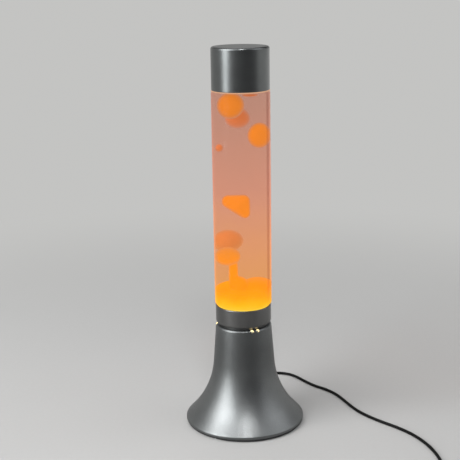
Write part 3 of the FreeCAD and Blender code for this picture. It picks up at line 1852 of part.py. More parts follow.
def make_rocker():
    """The rocker's top is two flats that meet in a valley, and its round pivot runs out at both sides."""
    body = new_body("switch_rocker")
    half, foot, draft = rocker_half, size("rocker_foot"), size("rocker_draft")

    def side_view(sketch):
        draw_outline(
            sketch,
            [
                (-foot, pivot_height - size("rocker_drop")),
                (foot, pivot_height - size("rocker_drop")),
                (half - draft, pivot_height + size("rocker_shoulder")),
                (half, pivot_height + size("rocker_rise")),
                (0, pivot_height + size("rocker_valley")),
                (-half, pivot_height + size("rocker_rise")),
                (-half + draft, pivot_height + size("rocker_shoulder")),
            ],
        )

    def pin(sketch):
        draw_circle(sketch, 0, pivot_height, size("pivot_radius"))

    pad(body, "rocker_block", "XZ_Plane", 0, size("rocker_width"), side_view, symmetric=True)
    pad(body, "rocker_pivot", "XZ_Plane", 0, size("rocker_width") + size("pivot_reach") * 2, pin, symmetric=True)
    swing = size("rocker_swing").number
    turn = Rotation(Vector(0, 1, 0), swing)
    pivot = Vector(0, 0, pivot_height.number)
    where = Vector(SWITCH_PLACE[0], SWITCH_PLACE[1], 0) + pivot - turn.multVec(pivot)
    body.Placement = Placement(where, turn)
    return node(body)


switch_rocker = make_rocker()


def switch_screw(name, side):
    """A small screw up through the lower shell, its head sunk in the underside."""
    x = SWITCH_PLACE[0] + switch_screw_x * side
    y = SWITCH_PLACE[1] + switch_screw_y * side
    sink = size("switch_screw_sink")
    return cylinder(name, size("switch_screw_radius"), size("switch_split") - sink, x, y, sink)


switch_screws = node(doc.addObject("Part::Compound", "switch_screws"))
switch_screws.Links = [switch_screw("right_switch_screw", 1), switch_screw("left_switch_screw", -1)]


# Plug: a flat two-pin plug with a tapered tail

# each section as shares of the plug: its place along it, its width and its thickness
PLUG_SECTIONS = [(0, 0.3, 0.62), (0.3, 0.66, 0.92), (0.66, 1, 1), (1, 1, 1)]
# how much of a section's thickness each cut corner takes
PLUG_CORNER = 0.3


def make_plug():
    """A loft through four sections, from the tail to the pin face, with a ribbed tail for the cord."""
    body = new_body("plug_body")
    wide, thick, length = size("plug_width"), size("plug_thickness"), size("plug_length")
    sections = []
    for k, (along, width_share, thickness_share) in enumerate(PLUG_SECTIONS):
        across, tall = wide * width_share, thick * thickness_share
        sketch = new_sketch(body, f"plug_section_{k}", "YZ_Plane", -(length * along))
        half, rise = across / 2, tall / 2
        corner = tall * PLUG_CORNER
        draw_outline(
            sketch,
            [
                (-half + corner, -rise),
                (half - corner, -rise),
                (half, -rise + corner),
                (half, rise - corner),
                (half - corner, rise),
                (-half + corner, rise),
                (-half, rise - corner),
                (-half, -rise + corner),
            ],
        )
        sections.append(sketch)
    loft = body.newObject("PartDesign::AdditiveLoft", "plug_loft")
    loft.Profile = sections[0]
    loft.Sections = sections[1:]
    loft.Ruled = True
    body.Tip = loft
    doc.recompute()
    tail, bore = size("plug_tail"), size("cord_radius")
    groove, draft = size("rib_groove"), size("rib_draft")
    ribs = int(size("plug_ribs").number)
    step = tail / (ribs * 2)
    outline = [(bore, 0)]
    for k in range(ribs):
        outer = size("plug_tail_root") - (size("plug_tail_root") - size("plug_tail_tip")) * k / ribs
        outline.append((outer, step * (2 * k)))
        outline.append((outer - draft, step * (2 * k + 1)))
        outline.append((outer - groove, step * (2 * k + 1)))
        outline.append((outer - groove - draft, step * (2 * k + 2)))
    outline.append((bore, tail))
    sketch = new_sketch(body, "plug_tail_outline", "XY_Plane")
    draw_outline(sketch, [(up, across) for across, up in outline])
    spin = body.newObject("PartDesign::Revolution", "plug_tail")
    spin.Profile = sketch
    spin.ReferenceAxis = (sketch, ["H_Axis"])
    spin.Angle = 360
    body.Tip = spin
    place(body, PLUG_BACK_X - size("plug_tail"), SWITCH_PLACE[1], size("plug_thickness") / 2)
    return node(body)


plug_body = make_plug()
plug_face_x = PLUG_BACK_X - size("plug_tail") - size("plug_length")


def plug_pin(name, side):
    """One pin with a rounded end, lying along the X axis."""
    body = new_body(name)
    radius, length = size("pin_radius"), size("pin_length")
    sketch = new_sketch(body, f"{name}_outline", "XZ_Plane")
    draw_outline(sketch, [(0, 0), (radius, 0), (radius, length - radius, radius, 1), (0, length)])
    spin = body.newObject("PartDesign::Revolution", f"{name}_turning")
    spin.Profile = sketch
    spin.ReferenceAxis = (sketch, ["V_Axis"])
    spin.Angle = 360
    body.Tip = spin
    offset = size("pin_spacing") / 2 * side
    place(body, plug_face_x, SWITCH_PLACE[1] + offset, size("plug_thickness") / 2, -90, Vector(0, 1, 0))
    return body


plug_pins = node(doc.addObject("Part::Compound", "plug_pins"))
plug_pins.Links = [plug_pin("left_pin", 1), plug_pin("right_pin", -1)]


# The cord's last stretch runs inside the plug's tail
cord_in_tail = node(
    shaped(
        "cord_in_plug",
        tube(
            [
                Part.LineSegment(
                    Vector(PLUG_BACK_X, SWITCH_PLACE[1], plug_height),
                    Vector(PLUG_BACK_X - size("plug_tail").number, SWITCH_PLACE[1], plug_height),
                ).toShape()
            ],
            cord_radius,
        ),
    )
)


# Checks and files

def check_and_write():
    doc.recompute()
    for thing in doc.Objects:
        bad = [word for word in thing.State if word in ("Invalid", "Error")]
        if bad:
            raise RuntimeError(f"{thing.Label} is {bad}")
    os.makedirs(PARTS_FOLDER, exist_ok=True)
    for thing in NODES:
        shape = thing.Shape
        if shape.isNull() or not shape.isValid() or not shape.Solids:
            raise RuntimeError(f"{thing.Label} has no valid solid")
    for thing in NODES:
        box = thing.Shape.BoundBox
        thing.Shape.exportStep(f"{PARTS_FOLDER}/{thing.Label}.step")
        print(
            f"{thing.Label}: {len(thing.Shape.Solids)} solid(s), volume {thing.Shape.Volume:.1f},"
            f" z {box.ZMin:.2f} to {box.ZMax:.2f}"
        )
    print(f"{len(NODES)} nodes")


check_and_write()
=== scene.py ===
# %% [markdown]
# A liquid motion lamp. A bulb hides in a spun trumpet base and warms the glass vessel that
# stands in the base's mouth, so that wax rises and sinks through a coloured liquid. This
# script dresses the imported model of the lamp: the exact solids come first as a fixed frame,
# and each visible piece is then made finer, or keeps its solid and gets a finish.

# %% Load the fixed frame
import math

import bmesh
import bpy
from mathutils import Matrix, Vector


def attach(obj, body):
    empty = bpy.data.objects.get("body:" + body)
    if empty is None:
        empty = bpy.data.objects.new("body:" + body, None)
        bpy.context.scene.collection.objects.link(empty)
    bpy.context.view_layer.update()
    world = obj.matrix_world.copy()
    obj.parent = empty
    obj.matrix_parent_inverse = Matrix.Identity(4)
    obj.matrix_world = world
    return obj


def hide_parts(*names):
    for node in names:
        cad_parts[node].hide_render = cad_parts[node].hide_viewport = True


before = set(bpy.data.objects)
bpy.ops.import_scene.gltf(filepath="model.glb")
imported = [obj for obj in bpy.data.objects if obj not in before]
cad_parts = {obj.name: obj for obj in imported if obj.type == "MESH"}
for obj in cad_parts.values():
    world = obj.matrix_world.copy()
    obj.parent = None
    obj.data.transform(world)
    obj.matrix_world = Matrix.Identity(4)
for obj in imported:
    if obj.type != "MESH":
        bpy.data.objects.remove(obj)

MM = 0.001
scene = bpy.context.scene
scene.view_settings.view_transform = "Standard"
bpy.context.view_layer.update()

# %% [markdown]
# The camera stands where a photographer would stand to look a little down on the lamp from
# about a metre away. Its place and its turns are given as plain numbers, because a view
# that is matched to a picture is easier to adjust as yaw, pitch and roll than by pointing
# the camera at a target.

# %% Camera
IMAGE_SIDE = 460
FOCAL_PIXELS = 1031.67
SENSOR = 36.0
camera_place = Vector((0.0, -0.9619, 0.4427))
yaw, pitch, roll = -0.0124, 0.2518, -0.0166


def camera_turn(yaw, pitch, roll):
    """The camera's rotation: from looking along +Y it turns by yaw, dips by pitch and rolls."""
    dip = math.cos(pitch)
    ahead = Vector((math.sin(yaw) * dip, math.cos(yaw) * dip, -math.sin(pitch)))
    right = ahead.cross(Vector((0, 0, 1))).normalized()
    up = right.cross(ahead)
    rolled_right = math.cos(roll) * right + math.sin(roll) * up
    rolled_up = -math.sin(roll) * right + math.cos(roll) * up
    return Matrix((rolled_right, rolled_up, -ahead)).transposed().to_4x4()


camera_data = bpy.data.cameras.new("Camera")
camera_data.sensor_width = SENSOR
camera_data.lens = FOCAL_PIXELS / IMAGE_SIDE * SENSOR
camera_data.clip_start = 0.02
camera_data.clip_end = 60
camera = bpy.data.objects.new("Camera", camera_data)
camera.matrix_world = Matrix.Translation(camera_place) @ camera_turn(yaw, pitch, roll)
scene.collection.objects.link(camera)
scene.camera = camera
print(f"camera: lens {camera_data.lens:.2f} mm at {tuple(camera_place)}")

# %% [markdown]
# Every finish on the lamp is a Principled shader with its own noise. Three effects return on
# many pieces: the rings that a lathe or a polishing wheel leaves, the fine grain of a
# blasted or moulded surface, and the faint cloudiness of something that has been handled.
# Each is one node group, built once, with named inputs.


# %% Node helpers


def add_node(tree, kind, **settings):
    """
    One node of a tree; a shader node's kind is given without its ShaderNode. A setting named in_X feeds the
    input called X, or numbered X, with a socket or a constant; any other sets the node's own property.
    """
    made = tree.nodes.new(kind if "Node" in kind else "ShaderNode" + kind)
    for name, value in settings.items():
        if not name.startswith("in_"):
            setattr(made, name, value)
            continue
        label = name[3:]
        socket = made.inputs[int(label) if label.isdigit() else label.replace("_", " ")]
        if hasattr(value, "is_output"):
            tree.links.new(value, socket)
        else:
            socket.default_value = value
    return made


def math_node(tree, operation, first, second=None, clamp=False):
    """The output of a math node whose inputs are sockets or numbers."""
    made = add_node(tree, "Math", operation=operation, use_clamp=clamp, in_0=first)
    if hasattr(second, "is_output"):
        tree.links.new(second, made.inputs[1])
    elif second is not None:
        made.inputs[1].default_value = second
    return made.outputs[0]


def plus(tree, first, second, clamp=False):
    """A sum."""
    return math_node(tree, "ADD", first, second, clamp)


def times(tree, first, second, clamp=False):
    """A product."""
    return math_node(tree, "MULTIPLY", first, second, clamp)


def less(tree, first, second, clamp=False):
    """A difference."""
    return math_node(tree, "SUBTRACT", first, second, clamp)


def stretch(tree, value, low, high, to_low=0.0, to_high=1.0, kind="LINEAR"):
    """A value carried from the span low to high onto another span, and held at its ends."""
    made = add_node(
        tree, "MapRange", interpolation_type=kind, in_Value=value,
        in_From_Min=low, in_From_Max=high, in_To_Min=to_low, in_To_Max=to_high,
    )
    return made.outputs["Result"]


def place_parts(tree, coordinates="Object"):
    """X, Y and Z of the place that is shaded."""
    place = add_node(tree, "TexCoord")
    return add_node(tree, "SeparateXYZ", in_0=place.outputs[coordinates]).outputs


# %% Group helpers
def new_group(name, inputs):
    """A shader group with float inputs {name: default}; returns it and its inputs."""
    group = bpy.data.node_groups.new(name, "ShaderNodeTree")
    for label, default in inputs.items():
        socket = group.interface.new_socket(label, in_out="INPUT", socket_type="NodeSocketFloat")
        socket.default_value = default
    return group, add_node(group, "NodeGroupInput").outputs


def give_results(group, results):
    """Ends a shader group with float outputs {name: socket}."""
    for label in results:
        group.interface.new_socket(label, in_out="OUTPUT", socket_type="NodeSocketFloat")
    ending = add_node(group, "NodeGroupOutput")
    for label, value in results.items():
        group.links.new(value, ending.inputs[label])


# %% Group: rings left by turning
def build_turning_marks():
    """Fine rings round the lamp's axis: noise read along the distance from the axis plus the height."""
    group, given = new_group("Turning marks", {"Rings per metre": 3000.0, "Unevenness": 0.5})
    place = place_parts(group)
    squares = plus(group, times(group, place["X"], place["X"]), times(group, place["Y"], place["Y"]))
    along = plus(group, math_node(group, "SQRT", squares), place["Z"])
    angle = math_node(group, "ARCTAN2", place["Y"], place["X"])
    spot = add_node(
        group, "CombineXYZ", in_X=times(group, along, given["Rings per metre"]),
        in_Y=times(group, math_node(group, "COSINE", angle), given["Unevenness"]),
    )
    noise = add_node(
        group, "TexNoise", noise_dimensions="2D", in_Vector=spot.outputs[0], in_Scale=1.0,
        in_Detail=3.0,
    )
    give_results(group, {"Rings": noise.outputs[0]})
    return group


turning_marks = build_turning_marks()


# %% Group: fine grain and handling
def build_surface_grain():
    """Two noises on Object coordinates: grain as fine as a moulded or blasted skin, and broad soft clouds."""
    group, given = new_group("Surface grain", {"Grain per metre": 1500.0, "Clouds per metre": 25.0})
    place = add_node(group, "TexCoord").outputs["Object"]
    noises = {}
    for label, detail in (("Grain", 2.0), ("Clouds", 4.0)):
        scale = given[label + " per metre"]
        noise = add_node(
            group, "TexNoise", in_Vector=place, in_Scale=scale, in_Detail=detail, in_Roughness=0.55
        )
        noises[label] = noise.outputs[0]
    give_results(group, noises)
    return group


surface_grain = build_surface_grain()
print("groups:", turning_marks.name, "and", surface_grain.name)


# %% [markdown]
# Most finishes differ only in colour, in how rough they are and in how strongly the grain or
# the rings show. So one function makes them: the grain and the clouds move the colour and
# the roughness a little, and the grain or the rings feed a Bump node.

# %% Parts of a material
# the span of heights that the glow of the wax and the liquid is spread over
VESSEL_LOW, VESSEL_HIGH = 0.100, 0.335
NOISE_MIDDLE = (0.3, 0.7)


def new_material(name):
    """A material, its empty tree and the socket that takes its surface."""
    material = bpy.data.materials.new(name)
    material.use_nodes = True
    tree = material.node_tree
    tree.nodes.clear()
    return material, tree, add_node(tree, "OutputMaterial").inputs["Surface"]


def skin_noises(tree, grain=1500.0, clouds=25.0):
    """The surface grain's outputs, Grain and Clouds, at so many per metre."""
    return add_node(
        tree, "Group", node_tree=surface_grain, in_Grain_per_metre=grain, in_Clouds_per_metre=clouds
    ).outputs


def blend(tree, share, one, other, **settings):
    """A mix of two colours, each a socket or three numbers, by a share from 0 to 1."""
    mix = add_node(tree, "Mix", data_type="RGBA", in_Factor=share, **settings)
    # a colour mix keeps its colour sockets after its number and vector ones
    ends = [socket for socket in mix.inputs if socket.type == "RGBA"]
    for end, colour in zip(ends, (one, other)):
        if isinstance(colour, tuple):
            end.default_value = (*colour, 1)
        else:
            tree.links.new(colour, end)
    return next(socket for socket in mix.outputs if socket.type == "RGBA")


def mix_shaders(tree, share, one, other):
    """One shader's output going over into another's."""
    return add_node(tree, "MixShader", in_0=share, in_1=one, in_2=other).outputs[0]


def spread(tree, noise, low, high):
    """A noise's middle range, stretched from low to high."""
    return stretch(tree, noise, *NOISE_MIDDLE, low, high)


def height_share(tree, low=VESSEL_LOW, high=VESSEL_HIGH):
    """0 at one height and 1 at another, from Object coordinates."""
    return stretch(tree, place_parts(tree)["Z"], low, high)


def facing_share(tree):
    """0 where a face looks at the eye and 1 where it is seen edge-on."""
    return add_node(tree, "LayerWeight", in_Blend=0.5).outputs["Facing"]


# %% Finish maker
GRAIN_AMONG_RINGS = 0.45
BOTH_TOGETHER = 0.69


def finish(
    name, low, high, roughness, metallic=0.0, grain=1500.0, clouds=25.0, rings=None, relief=0.1, depth=0.0001,
    darker_above=None, **inputs,
):
    """
    A finish: colours low to high over the clouds, roughness (least, most) over the grain, and a fine relief.
    Painted shade above a height is given as the height where the colour starts to darken, the height where
    that is full, and what is left there. Other settings, named in_X, go to the shader.
    """
    material, tree, surface = new_material(name)
    skin = skin_noises(tree, grain, clouds)
    pattern = skin["Grain"]
    if rings:
        turned = add_node(tree, "Group", node_tree=turning_marks, in_Rings_per_metre=rings)
        pattern = plus(tree, times(tree, pattern, GRAIN_AMONG_RINGS), turned.outputs["Rings"])
        pattern = times(tree, pattern, BOTH_TOGETHER)
    cloudy = spread(tree, skin["Clouds"], 0, 1)
    colour = blend(tree, cloudy, low, high)
    # painted shade: above a height the colour is made darker
    if darker_above:
        start, full, left = darker_above
        shaded_low, shaded_high = (tuple(channel * left for channel in end) for end in (low, high))
        dark = blend(tree, cloudy, shaded_low, shaded_high)
        colour = blend(tree, height_share(tree, start, full), colour, dark)
    bump = add_node(tree, "Bump", in_Strength=relief, in_Distance=depth, in_Height=pattern)
    shader = add_node(
        tree, "BsdfPrincipled", in_Base_Color=colour, in_Metallic=metallic,
        in_Roughness=spread(tree, pattern, *roughness), in_Normal=bump.outputs["Normal"], **inputs,
    )
    tree.links.new(shader.outputs["BSDF"], surface)
    return material


def metal(*colours_and_roughness, **more):
    """A finish of bare metal."""
    return finish(*colours_and_roughness, metallic=1.0, **more)


# %% [markdown]
# The metals. The base is aluminium, spun over a form and then blasted to a satin grey with a
# fine grain. The cap and the collar are darker, with rings that run round them. Inside the
# base are a zinc-plated strap, brass and plain screws.

# %% Metals
# the base's throat, above its flare, carries painted shade: its colour is darker there than on the flare
base_metal = metal(
    "Satin spun aluminium", (0.170, 0.177, 0.178), (0.231, 0.240, 0.241), (0.32, 0.44), grain=760, clouds=18,
    relief=0.42, depth=0.0004, darker_above=(0.038, 0.080, 0.76),
)
cap_metal = metal(
    "Brushed dark cap metal", (0.130, 0.136, 0.137), (0.171, 0.179, 0.180), (0.28, 0.35), grain=2300,
    clouds=30, rings=3600, relief=0.05,
)
collar_metal = metal(
    "Polished dark collar metal", (0.140, 0.139, 0.136), (0.176, 0.175, 0.173), (0.30, 0.38), grain=2300,
    clouds=30, rings=4200, relief=0.08, depth=0.00008,
)
zinc_metal = metal(
    "Zinc-plated strap", (0.50, 0.50, 0.46), (0.66, 0.65, 0.60), (0.30, 0.48), grain=900, clouds=60
)
screw_metal = metal("Plated screw", (0.55, 0.55, 0.54), (0.68, 0.68, 0.67), (0.24, 0.36), grain=2500)
brass_metal = metal("Pressed brass", (0.70, 0.50, 0.20), (0.80, 0.60, 0.28), (0.22, 0.38), grain=1800)
nickel_metal = metal("Nickel-plated pin", (0.66, 0.65, 0.62), (0.76, 0.75, 0.72), (0.16, 0.26))
bulb_cap_metal = metal("Rolled bulb cap", (0.62, 0.60, 0.56), (0.74, 0.72, 0.68), (0.24, 0.40))
crown_metal = finish(
    "Lacquered crown", (0.50, 0.47, 0.40), (0.60, 0.57, 0.50), (0.20, 0.32), metallic=0.9, grain=1200,
    clouds=90, in_Coat_Weight=0.4, in_Coat_Roughness=0.15,
)
wire_metal = metal("Drawn steel wire", (0.42, 0.41, 0.39), (0.55, 0.54, 0.52), (0.28, 0.44))
print("materials so far, with the frame's own:", len(bpy.data.materials))

# %% [markdown]
# The plastics. The plate, the switch and the plug are black mouldings with a fine spark-eroded
# grain, the feet are soft rubber, and the cord has a dull black sheath.

# %% Plastics and rubber
black_moulding = finish(
    "Black moulding", (0.018, 0.018, 0.019), (0.030, 0.030, 0.031), (0.42, 0.62), grain=2600, relief=0.3
)
foot_rubber = finish(
    "Foot rubber", (0.020, 0.020, 0.020), (0.042, 0.041, 0.040), (0.66, 0.86), grain=1800, relief=0.35
)
cord_sheath = finish(
    "Black cord sheath", (0.003, 0.003, 0.003), (0.007, 0.007, 0.007), (0.42, 0.56), grain=900, clouds=40,
    relief=0.08, in_Specular_IOR_Level=0.12,
)
switch_skin = finish(
    "Switch moulding", (0.020, 0.020, 0.021), (0.030, 0.030, 0.031), (0.34, 0.50), grain=3000, relief=0.25
)
rocker_skin = finish(
    "Rocker moulding", (0.045, 0.045, 0.046), (0.060, 0.060, 0.061), (0.22, 0.34), grain=3000, relief=0.12,
    in_Coat_Weight=0.3, in_Coat_Roughness=0.2,
)
holder_skin = finish(
    "Pale lamp holder", (0.66, 0.62, 0.53), (0.76, 0.72, 0.64), (0.40, 0.60), grain=1600, relief=0.2
)
block_skin = finish(
    "Terminal block", (0.72, 0.71, 0.66), (0.82, 0.81, 0.76), (0.34, 0.48), grain=1600, relief=0.12
)
wire_skin = finish("Wire insulation", (0.05, 0.10, 0.32), (0.08, 0.14, 0.40), (0.34, 0.48), grain=1200)
liner_skin = finish(
    "Sealing disc", (0.70, 0.69, 0.65), (0.80, 0.79, 0.75), (0.40, 0.55), grain=1400, relief=0.12
)
insulator_skin = finish("Bulb insulator", (0.03, 0.03, 0.04), (0.06, 0.06, 0.07), (0.15, 0.3), grain=900)
floor_skin = finish(
    "Pale floor", (0.455, 0.452, 0.446), (0.480, 0.477, 0.470), (0.55, 0.7), grain=300, clouds=1.5,
    relief=0.05,
)

# %% [markdown]
# The glow. Seen from outside, the liquid is a veil of warm light, rosier at the top and
# golden near the bulb, and the wax shines through it. Real scattering would need a slow
# volume, so the liquid is a see-through skin that gives off a little light of its own, and
# the wax is opaque and glows. Both colours follow the height in the vessel.

# %% Colours by height
def colour_ramp(tree, share, stops):
    """A ramp through (place, colour) stops."""
    ramp = add_node(tree, "ValToRGB", in_Fac=share)
    elements = ramp.color_ramp.elements
    while len(elements) < len(stops):
        elements.new(0.5)
    for element, (where, colour) in zip(elements, stops):
        element.position = where
        element.color = (*colour, 1)
    return ramp.outputs["Color"]


def linear(red, green, blue):
    """Scene colour from the 0 to 255 values of a screen colour."""
    values = [channel / 255 for channel in (red, green, blue)]
    return tuple(v / 12.92 if v <= 0.04045 else ((v + 0.055) / 1.055) ** 2.4 for v in values)


# %% Glowing wax
# the liquid's own colour by height, as it is seen through the front of the vessel
MURK = [
    (0.10, (0.71, 0.45, 0.26)), (0.40, (0.65, 0.41, 0.31)), (0.60, (0.58, 0.38, 0.32)),
    (1.00, (0.50, 0.36, 0.31)),
]
# wax grains and clouds per metre, how far the clouds shift the colour, and how much darker they make it
WAX_GRAIN, WAX_CLOUDS, CLOUDY_SHADE = 400, 45, 0.85


def glowing(
    name, stops, strength, base, roughness, soft=None, soft_above=None, cloud=0.10, low=VESSEL_LOW,
    high=VESSEL_HIGH, murk=MURK,
):
    """
    A skin that gives off light whose colour follows the height. soft is where its edges start and end to fade
    into the murk, and by how much; soft_above is the height where that fading starts and is full.
    """
    material, tree, surface = new_material(name)
    skin = skin_noises(tree, WAX_GRAIN, WAX_CLOUDS)
    share = plus(tree, height_share(tree, low, high), spread(tree, skin["Clouds"], -cloud, cloud), clamp=True)
    glow, power = colour_ramp(tree, share, stops), strength
    colour = blend(tree, skin["Clouds"], base, tuple(channel * CLOUDY_SHADE for channel in base))
    if soft:
        start, end, most = soft
        faded = stretch(tree, facing_share(tree), start, end, to_high=most, kind="SMOOTHSTEP")
        if soft_above:
            faded = times(tree, faded, height_share(tree, *soft_above))
        glow = blend(tree, faded, glow, colour_ramp(tree, share, murk))
        colour = blend(tree, faded, colour, (0, 0, 0))
        power = plus(tree, times(tree, faded, 1.0 - strength), strength)
    shader = add_node(
        tree, "BsdfPrincipled", in_Base_Color=colour, in_Specular_IOR_Level=0.0 if soft else 0.2,
        in_Roughness=spread(tree, skin["Grain"], *roughness), in_Emission_Color=glow,
        in_Emission_Strength=power,
    )
    tree.links.new(shader.outputs["BSDF"], surface)
    return material


# %% Tinted liquid
# the dark line that the vessel's wall draws, partly the wall seen edge-on and partly painted shade on
# its right side: its weight by how edge-on the skin is seen, and its tint
WALL_LINE = [(0.47, 0), (0.55, 1), (0.62, 1), (0.72, 0)]
WALL_SHADE_TINT = (0.80, 0.74, 0.73)
WALL_FROM, WALL_FULL = 0.125, 0.145
# the painted highlight in the liquid's left edge: how narrow it is and how much brighter
PAINTED_RIM_POWER, PAINTED_RIM_GAIN, LIQUID_CLOUDS = 7.0, 5.0, 40


def tinted_liquid(name, tints, glows, strength):
    """A see-through skin that tints what is behind it and adds a little light, both by height; a painted
    highlight lies in its left edge and painted shade in its right.
    """
    material, tree, surface = new_material(name)
    clouds = spread(tree, skin_noises(tree, WAX_GRAIN, LIQUID_CLOUDS)["Clouds"], -0.03, 0.03)
    share = plus(tree, height_share(tree), clouds, clamp=True)
    # a painted highlight: light from the left lamps is painted into the skin's left edge
    facing = facing_share(tree)
    face = add_node(tree, "NewGeometry").outputs
    across = add_node(tree, "SeparateXYZ", in_0=face["Normal"]).outputs["X"]
    left = times(tree, math_node(tree, "POWER", facing, PAINTED_RIM_POWER), times(tree, across, -1.0), clamp=True)
    power = times(tree, plus(tree, times(tree, left, PAINTED_RIM_GAIN), 1.0), strength)
    # a painted shade line: on the right, away from the light, the wall shows as a dark line above the pool;
    # a back face's normal counts the other way
    wall = colour_ramp(tree, facing, [(where, (weight,) * 3) for where, weight in WALL_LINE])
    wall = times(tree, wall, height_share(tree, WALL_FROM, WALL_FULL))
    side = plus(tree, times(tree, face["Backfacing"], -2.0), 1.0)
    right = times(tree, wall, times(tree, side, across), clamp=True)
    tint = blend(tree, right, colour_ramp(tree, share, tints), WALL_SHADE_TINT, blend_type="MULTIPLY")
    clear = add_node(tree, "BsdfTransparent", in_Color=tint)
    light = add_node(tree, "Emission", in_Color=colour_ramp(tree, share, glows), in_Strength=power)
    both = add_node(tree, "AddShader", in_0=clear.outputs[0], in_1=light.outputs[0])
    tree.links.new(both.outputs[0], surface)
    return material


# %% Colours of the liquid and the wax
liquid_tints = [
    (0.00, (0.96, 0.76, 0.46)), (0.25, (0.94, 0.71, 0.52)), (0.55, (0.885, 0.67, 0.58)),
    (1.00, (0.83, 0.66, 0.59)),
]
liquid_glows = [
    (0.10, (1.0, 0.35, 0.04)), (0.32, (1.0, 0.31, 0.09)), (0.58, (0.72, 0.19, 0.10)),
    (1.00, (0.40, 0.11, 0.075)),
]
liquid_glow = tinted_liquid("Tinted liquid", liquid_tints, liquid_glows, 0.20)
wax_stops = [
    (0.000, linear(255, 228, 96)), (0.092, linear(255, 226, 84)), (0.115, linear(255, 208, 38)),
    (0.140, linear(255, 182, 8)), (0.175, linear(252, 158, 0)), (0.300, linear(250, 160, 12)),
    (0.550, linear(244, 160, 34)), (1.000, linear(236, 152, 44)),
]
# the head of the rising column is further off, in deeper murk
pool_stops = wax_stops[:5]
pool_stops += [(0.270, linear(250, 160, 12)), (0.320, linear(222, 152, 50)), (0.400, linear(205, 146, 80))]
back_wax_stops = [
    (0.00, linear(220, 156, 64)), (0.35, linear(200, 146, 88)), (0.80, linear(226, 146, 84)),
    (1.00, linear(226, 140, 80)),
]
# near a drop the murk is lit by it
WARM_MURK = [
    (0.10, (0.74, 0.40, 0.16)), (0.40, (0.70, 0.33, 0.15)), (0.60, (0.60, 0.35, 0.24)),
    (1.00, (0.55, 0.335, 0.23)),
]
BACK_MURK = [(0.10, (0.74, 0.40, 0.16)), (0.31, (0.68, 0.34, 0.16)), (0.40, (0.65, 0.40, 0.29)), *MURK[2:]]
FRONT_SOFT, BACK_SOFT = (0.15, 0.85, 0.8), (0.0, 0.75, 0.95)
wax_glow = glowing(
    "Warm wax", pool_stops, 1.0, (0.12, 0.04, 0.002), (0.5, 0.65), soft=FRONT_SOFT, soft_above=(0.142, 0.150),
    cloud=0.012, murk=WARM_MURK,
)
drop_glow = glowing(
    "Warm wax in the liquid", wax_stops, 0.90, (0.18, 0.06, 0.004), (0.5, 0.65), soft=FRONT_SOFT, cloud=0.03,
    murk=WARM_MURK,
)
back_wax_glow = glowing(
    "Wax at the back", back_wax_stops, 0.72, (0.26, 0.09, 0.04), (0.45, 0.6), soft=BACK_SOFT, cloud=0.05,
    murk=BACK_MURK,
)

# %% [markdown]
# Clear glass is mostly not there: light goes straight through it, and only the part that the
# Fresnel term picks out is mirrored, most at grazing angles. A Transparent shader mixed with
# a Glossy one by Fresnel gives that without bending light twice, so the wax stays where it
# is. The thick foot of the vessel stands in the bulb's light, so it carries a painted glow, and
# a thin band of painted highlight runs round the glass just under the cap.

# %% Glass
GLASS_GRAIN, GLASS_IOR = 60, 1.12


def clear_glass(name, tint, roughness, glows=()):
    """See-through glass. glows are bands of painted glow: where it starts, is full, fades and is gone,
    colour, strength.
    """
    material, tree, surface = new_material(name)
    clear = add_node(tree, "BsdfTransparent", in_Color=(*tint, 1))
    grain = skin_noises(tree, GLASS_GRAIN)["Grain"]
    gloss = add_node(tree, "BsdfGlossy", in_Roughness=spread(tree, grain, *roughness))
    # only a front face mirrors: from inside, light that isn't bent would meet a false total reflection
    back = add_node(tree, "NewGeometry").outputs["Backfacing"]
    edge = add_node(tree, "Fresnel", in_IOR=GLASS_IOR).outputs[0]
    share = times(tree, edge, less(tree, 1.0, back))
    seen = mix_shaders(tree, share, clear.outputs[0], gloss.outputs[0])
    # each band is painted light, given off by the glass itself
    for start, full, fades, gone, colour, strength in glows:
        light = add_node(tree, "Emission", in_Color=(*colour, 1), in_Strength=strength)
        beyond = less(tree, 1.0, height_share(tree, fades, gone), clamp=True)
        within = times(tree, height_share(tree, start, full), beyond)
        seen = mix_shaders(tree, within, seen, light.outputs[0])
    tree.links.new(seen, surface)
    return material


# painted glow in the glass foot, which stands in the bulb's light, and a thin painted highlight band just
# under the cap
glass_painted_glows = [
    (0.0900, 0.0970, 0.1004, 0.1010, linear(255, 238, 196), 2.6),
    (0.3288, 0.3299, 0.3299, 0.3330, linear(246, 190, 150), 0.8),
]
vessel_glass = clear_glass("Vessel glass", (0.97, 0.975, 0.97), (0.10, 0.16), glass_painted_glows)

# %% Bulb, its stem and the vents' walls
bulb_stops = [
    (0.00, linear(150, 140, 120)), (0.55, linear(190, 175, 140)), (0.62, linear(255, 236, 190)),
    (1.00, linear(255, 246, 220)),
]
vent_stops = [(0, linear(255, 214, 120)), (1, linear(255, 244, 196))]
stem_stops = [(0, linear(230, 200, 150)), (1, linear(255, 230, 180))]
bulb_glow = glowing("Frosted bulb", bulb_stops, 4.0, (0.7, 0.66, 0.6), (0.2, 0.35), low=0.044, high=0.0895)
# the vents' walls carry a painted glow of the bulb's light
vent_painted_glow = glowing(
    "Vent wall in the bulb's light", vent_stops, 1.6, (0.6, 0.5, 0.3), (0.3, 0.4), low=0.096, high=0.103
)
stem_glow = glowing("Bulb stem", stem_stops, 0.6, (0.6, 0.6, 0.58), (0.1, 0.2))
print("materials, with the frame's own:", len(bpy.data.materials))


# %% Placing a piece
def add_piece(name, data):
    """A new object in the scene."""
    piece = bpy.data.objects.new(name, data)
    scene.collection.objects.link(piece)
    return piece


def stand_for(piece, body, slot, *nodes):
    """The piece rides on a body and is shown in place of CAD nodes; slot is not used."""
    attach(piece, body)
    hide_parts(*nodes)
    print(f"{piece.name} stands for {', '.join(nodes)}")


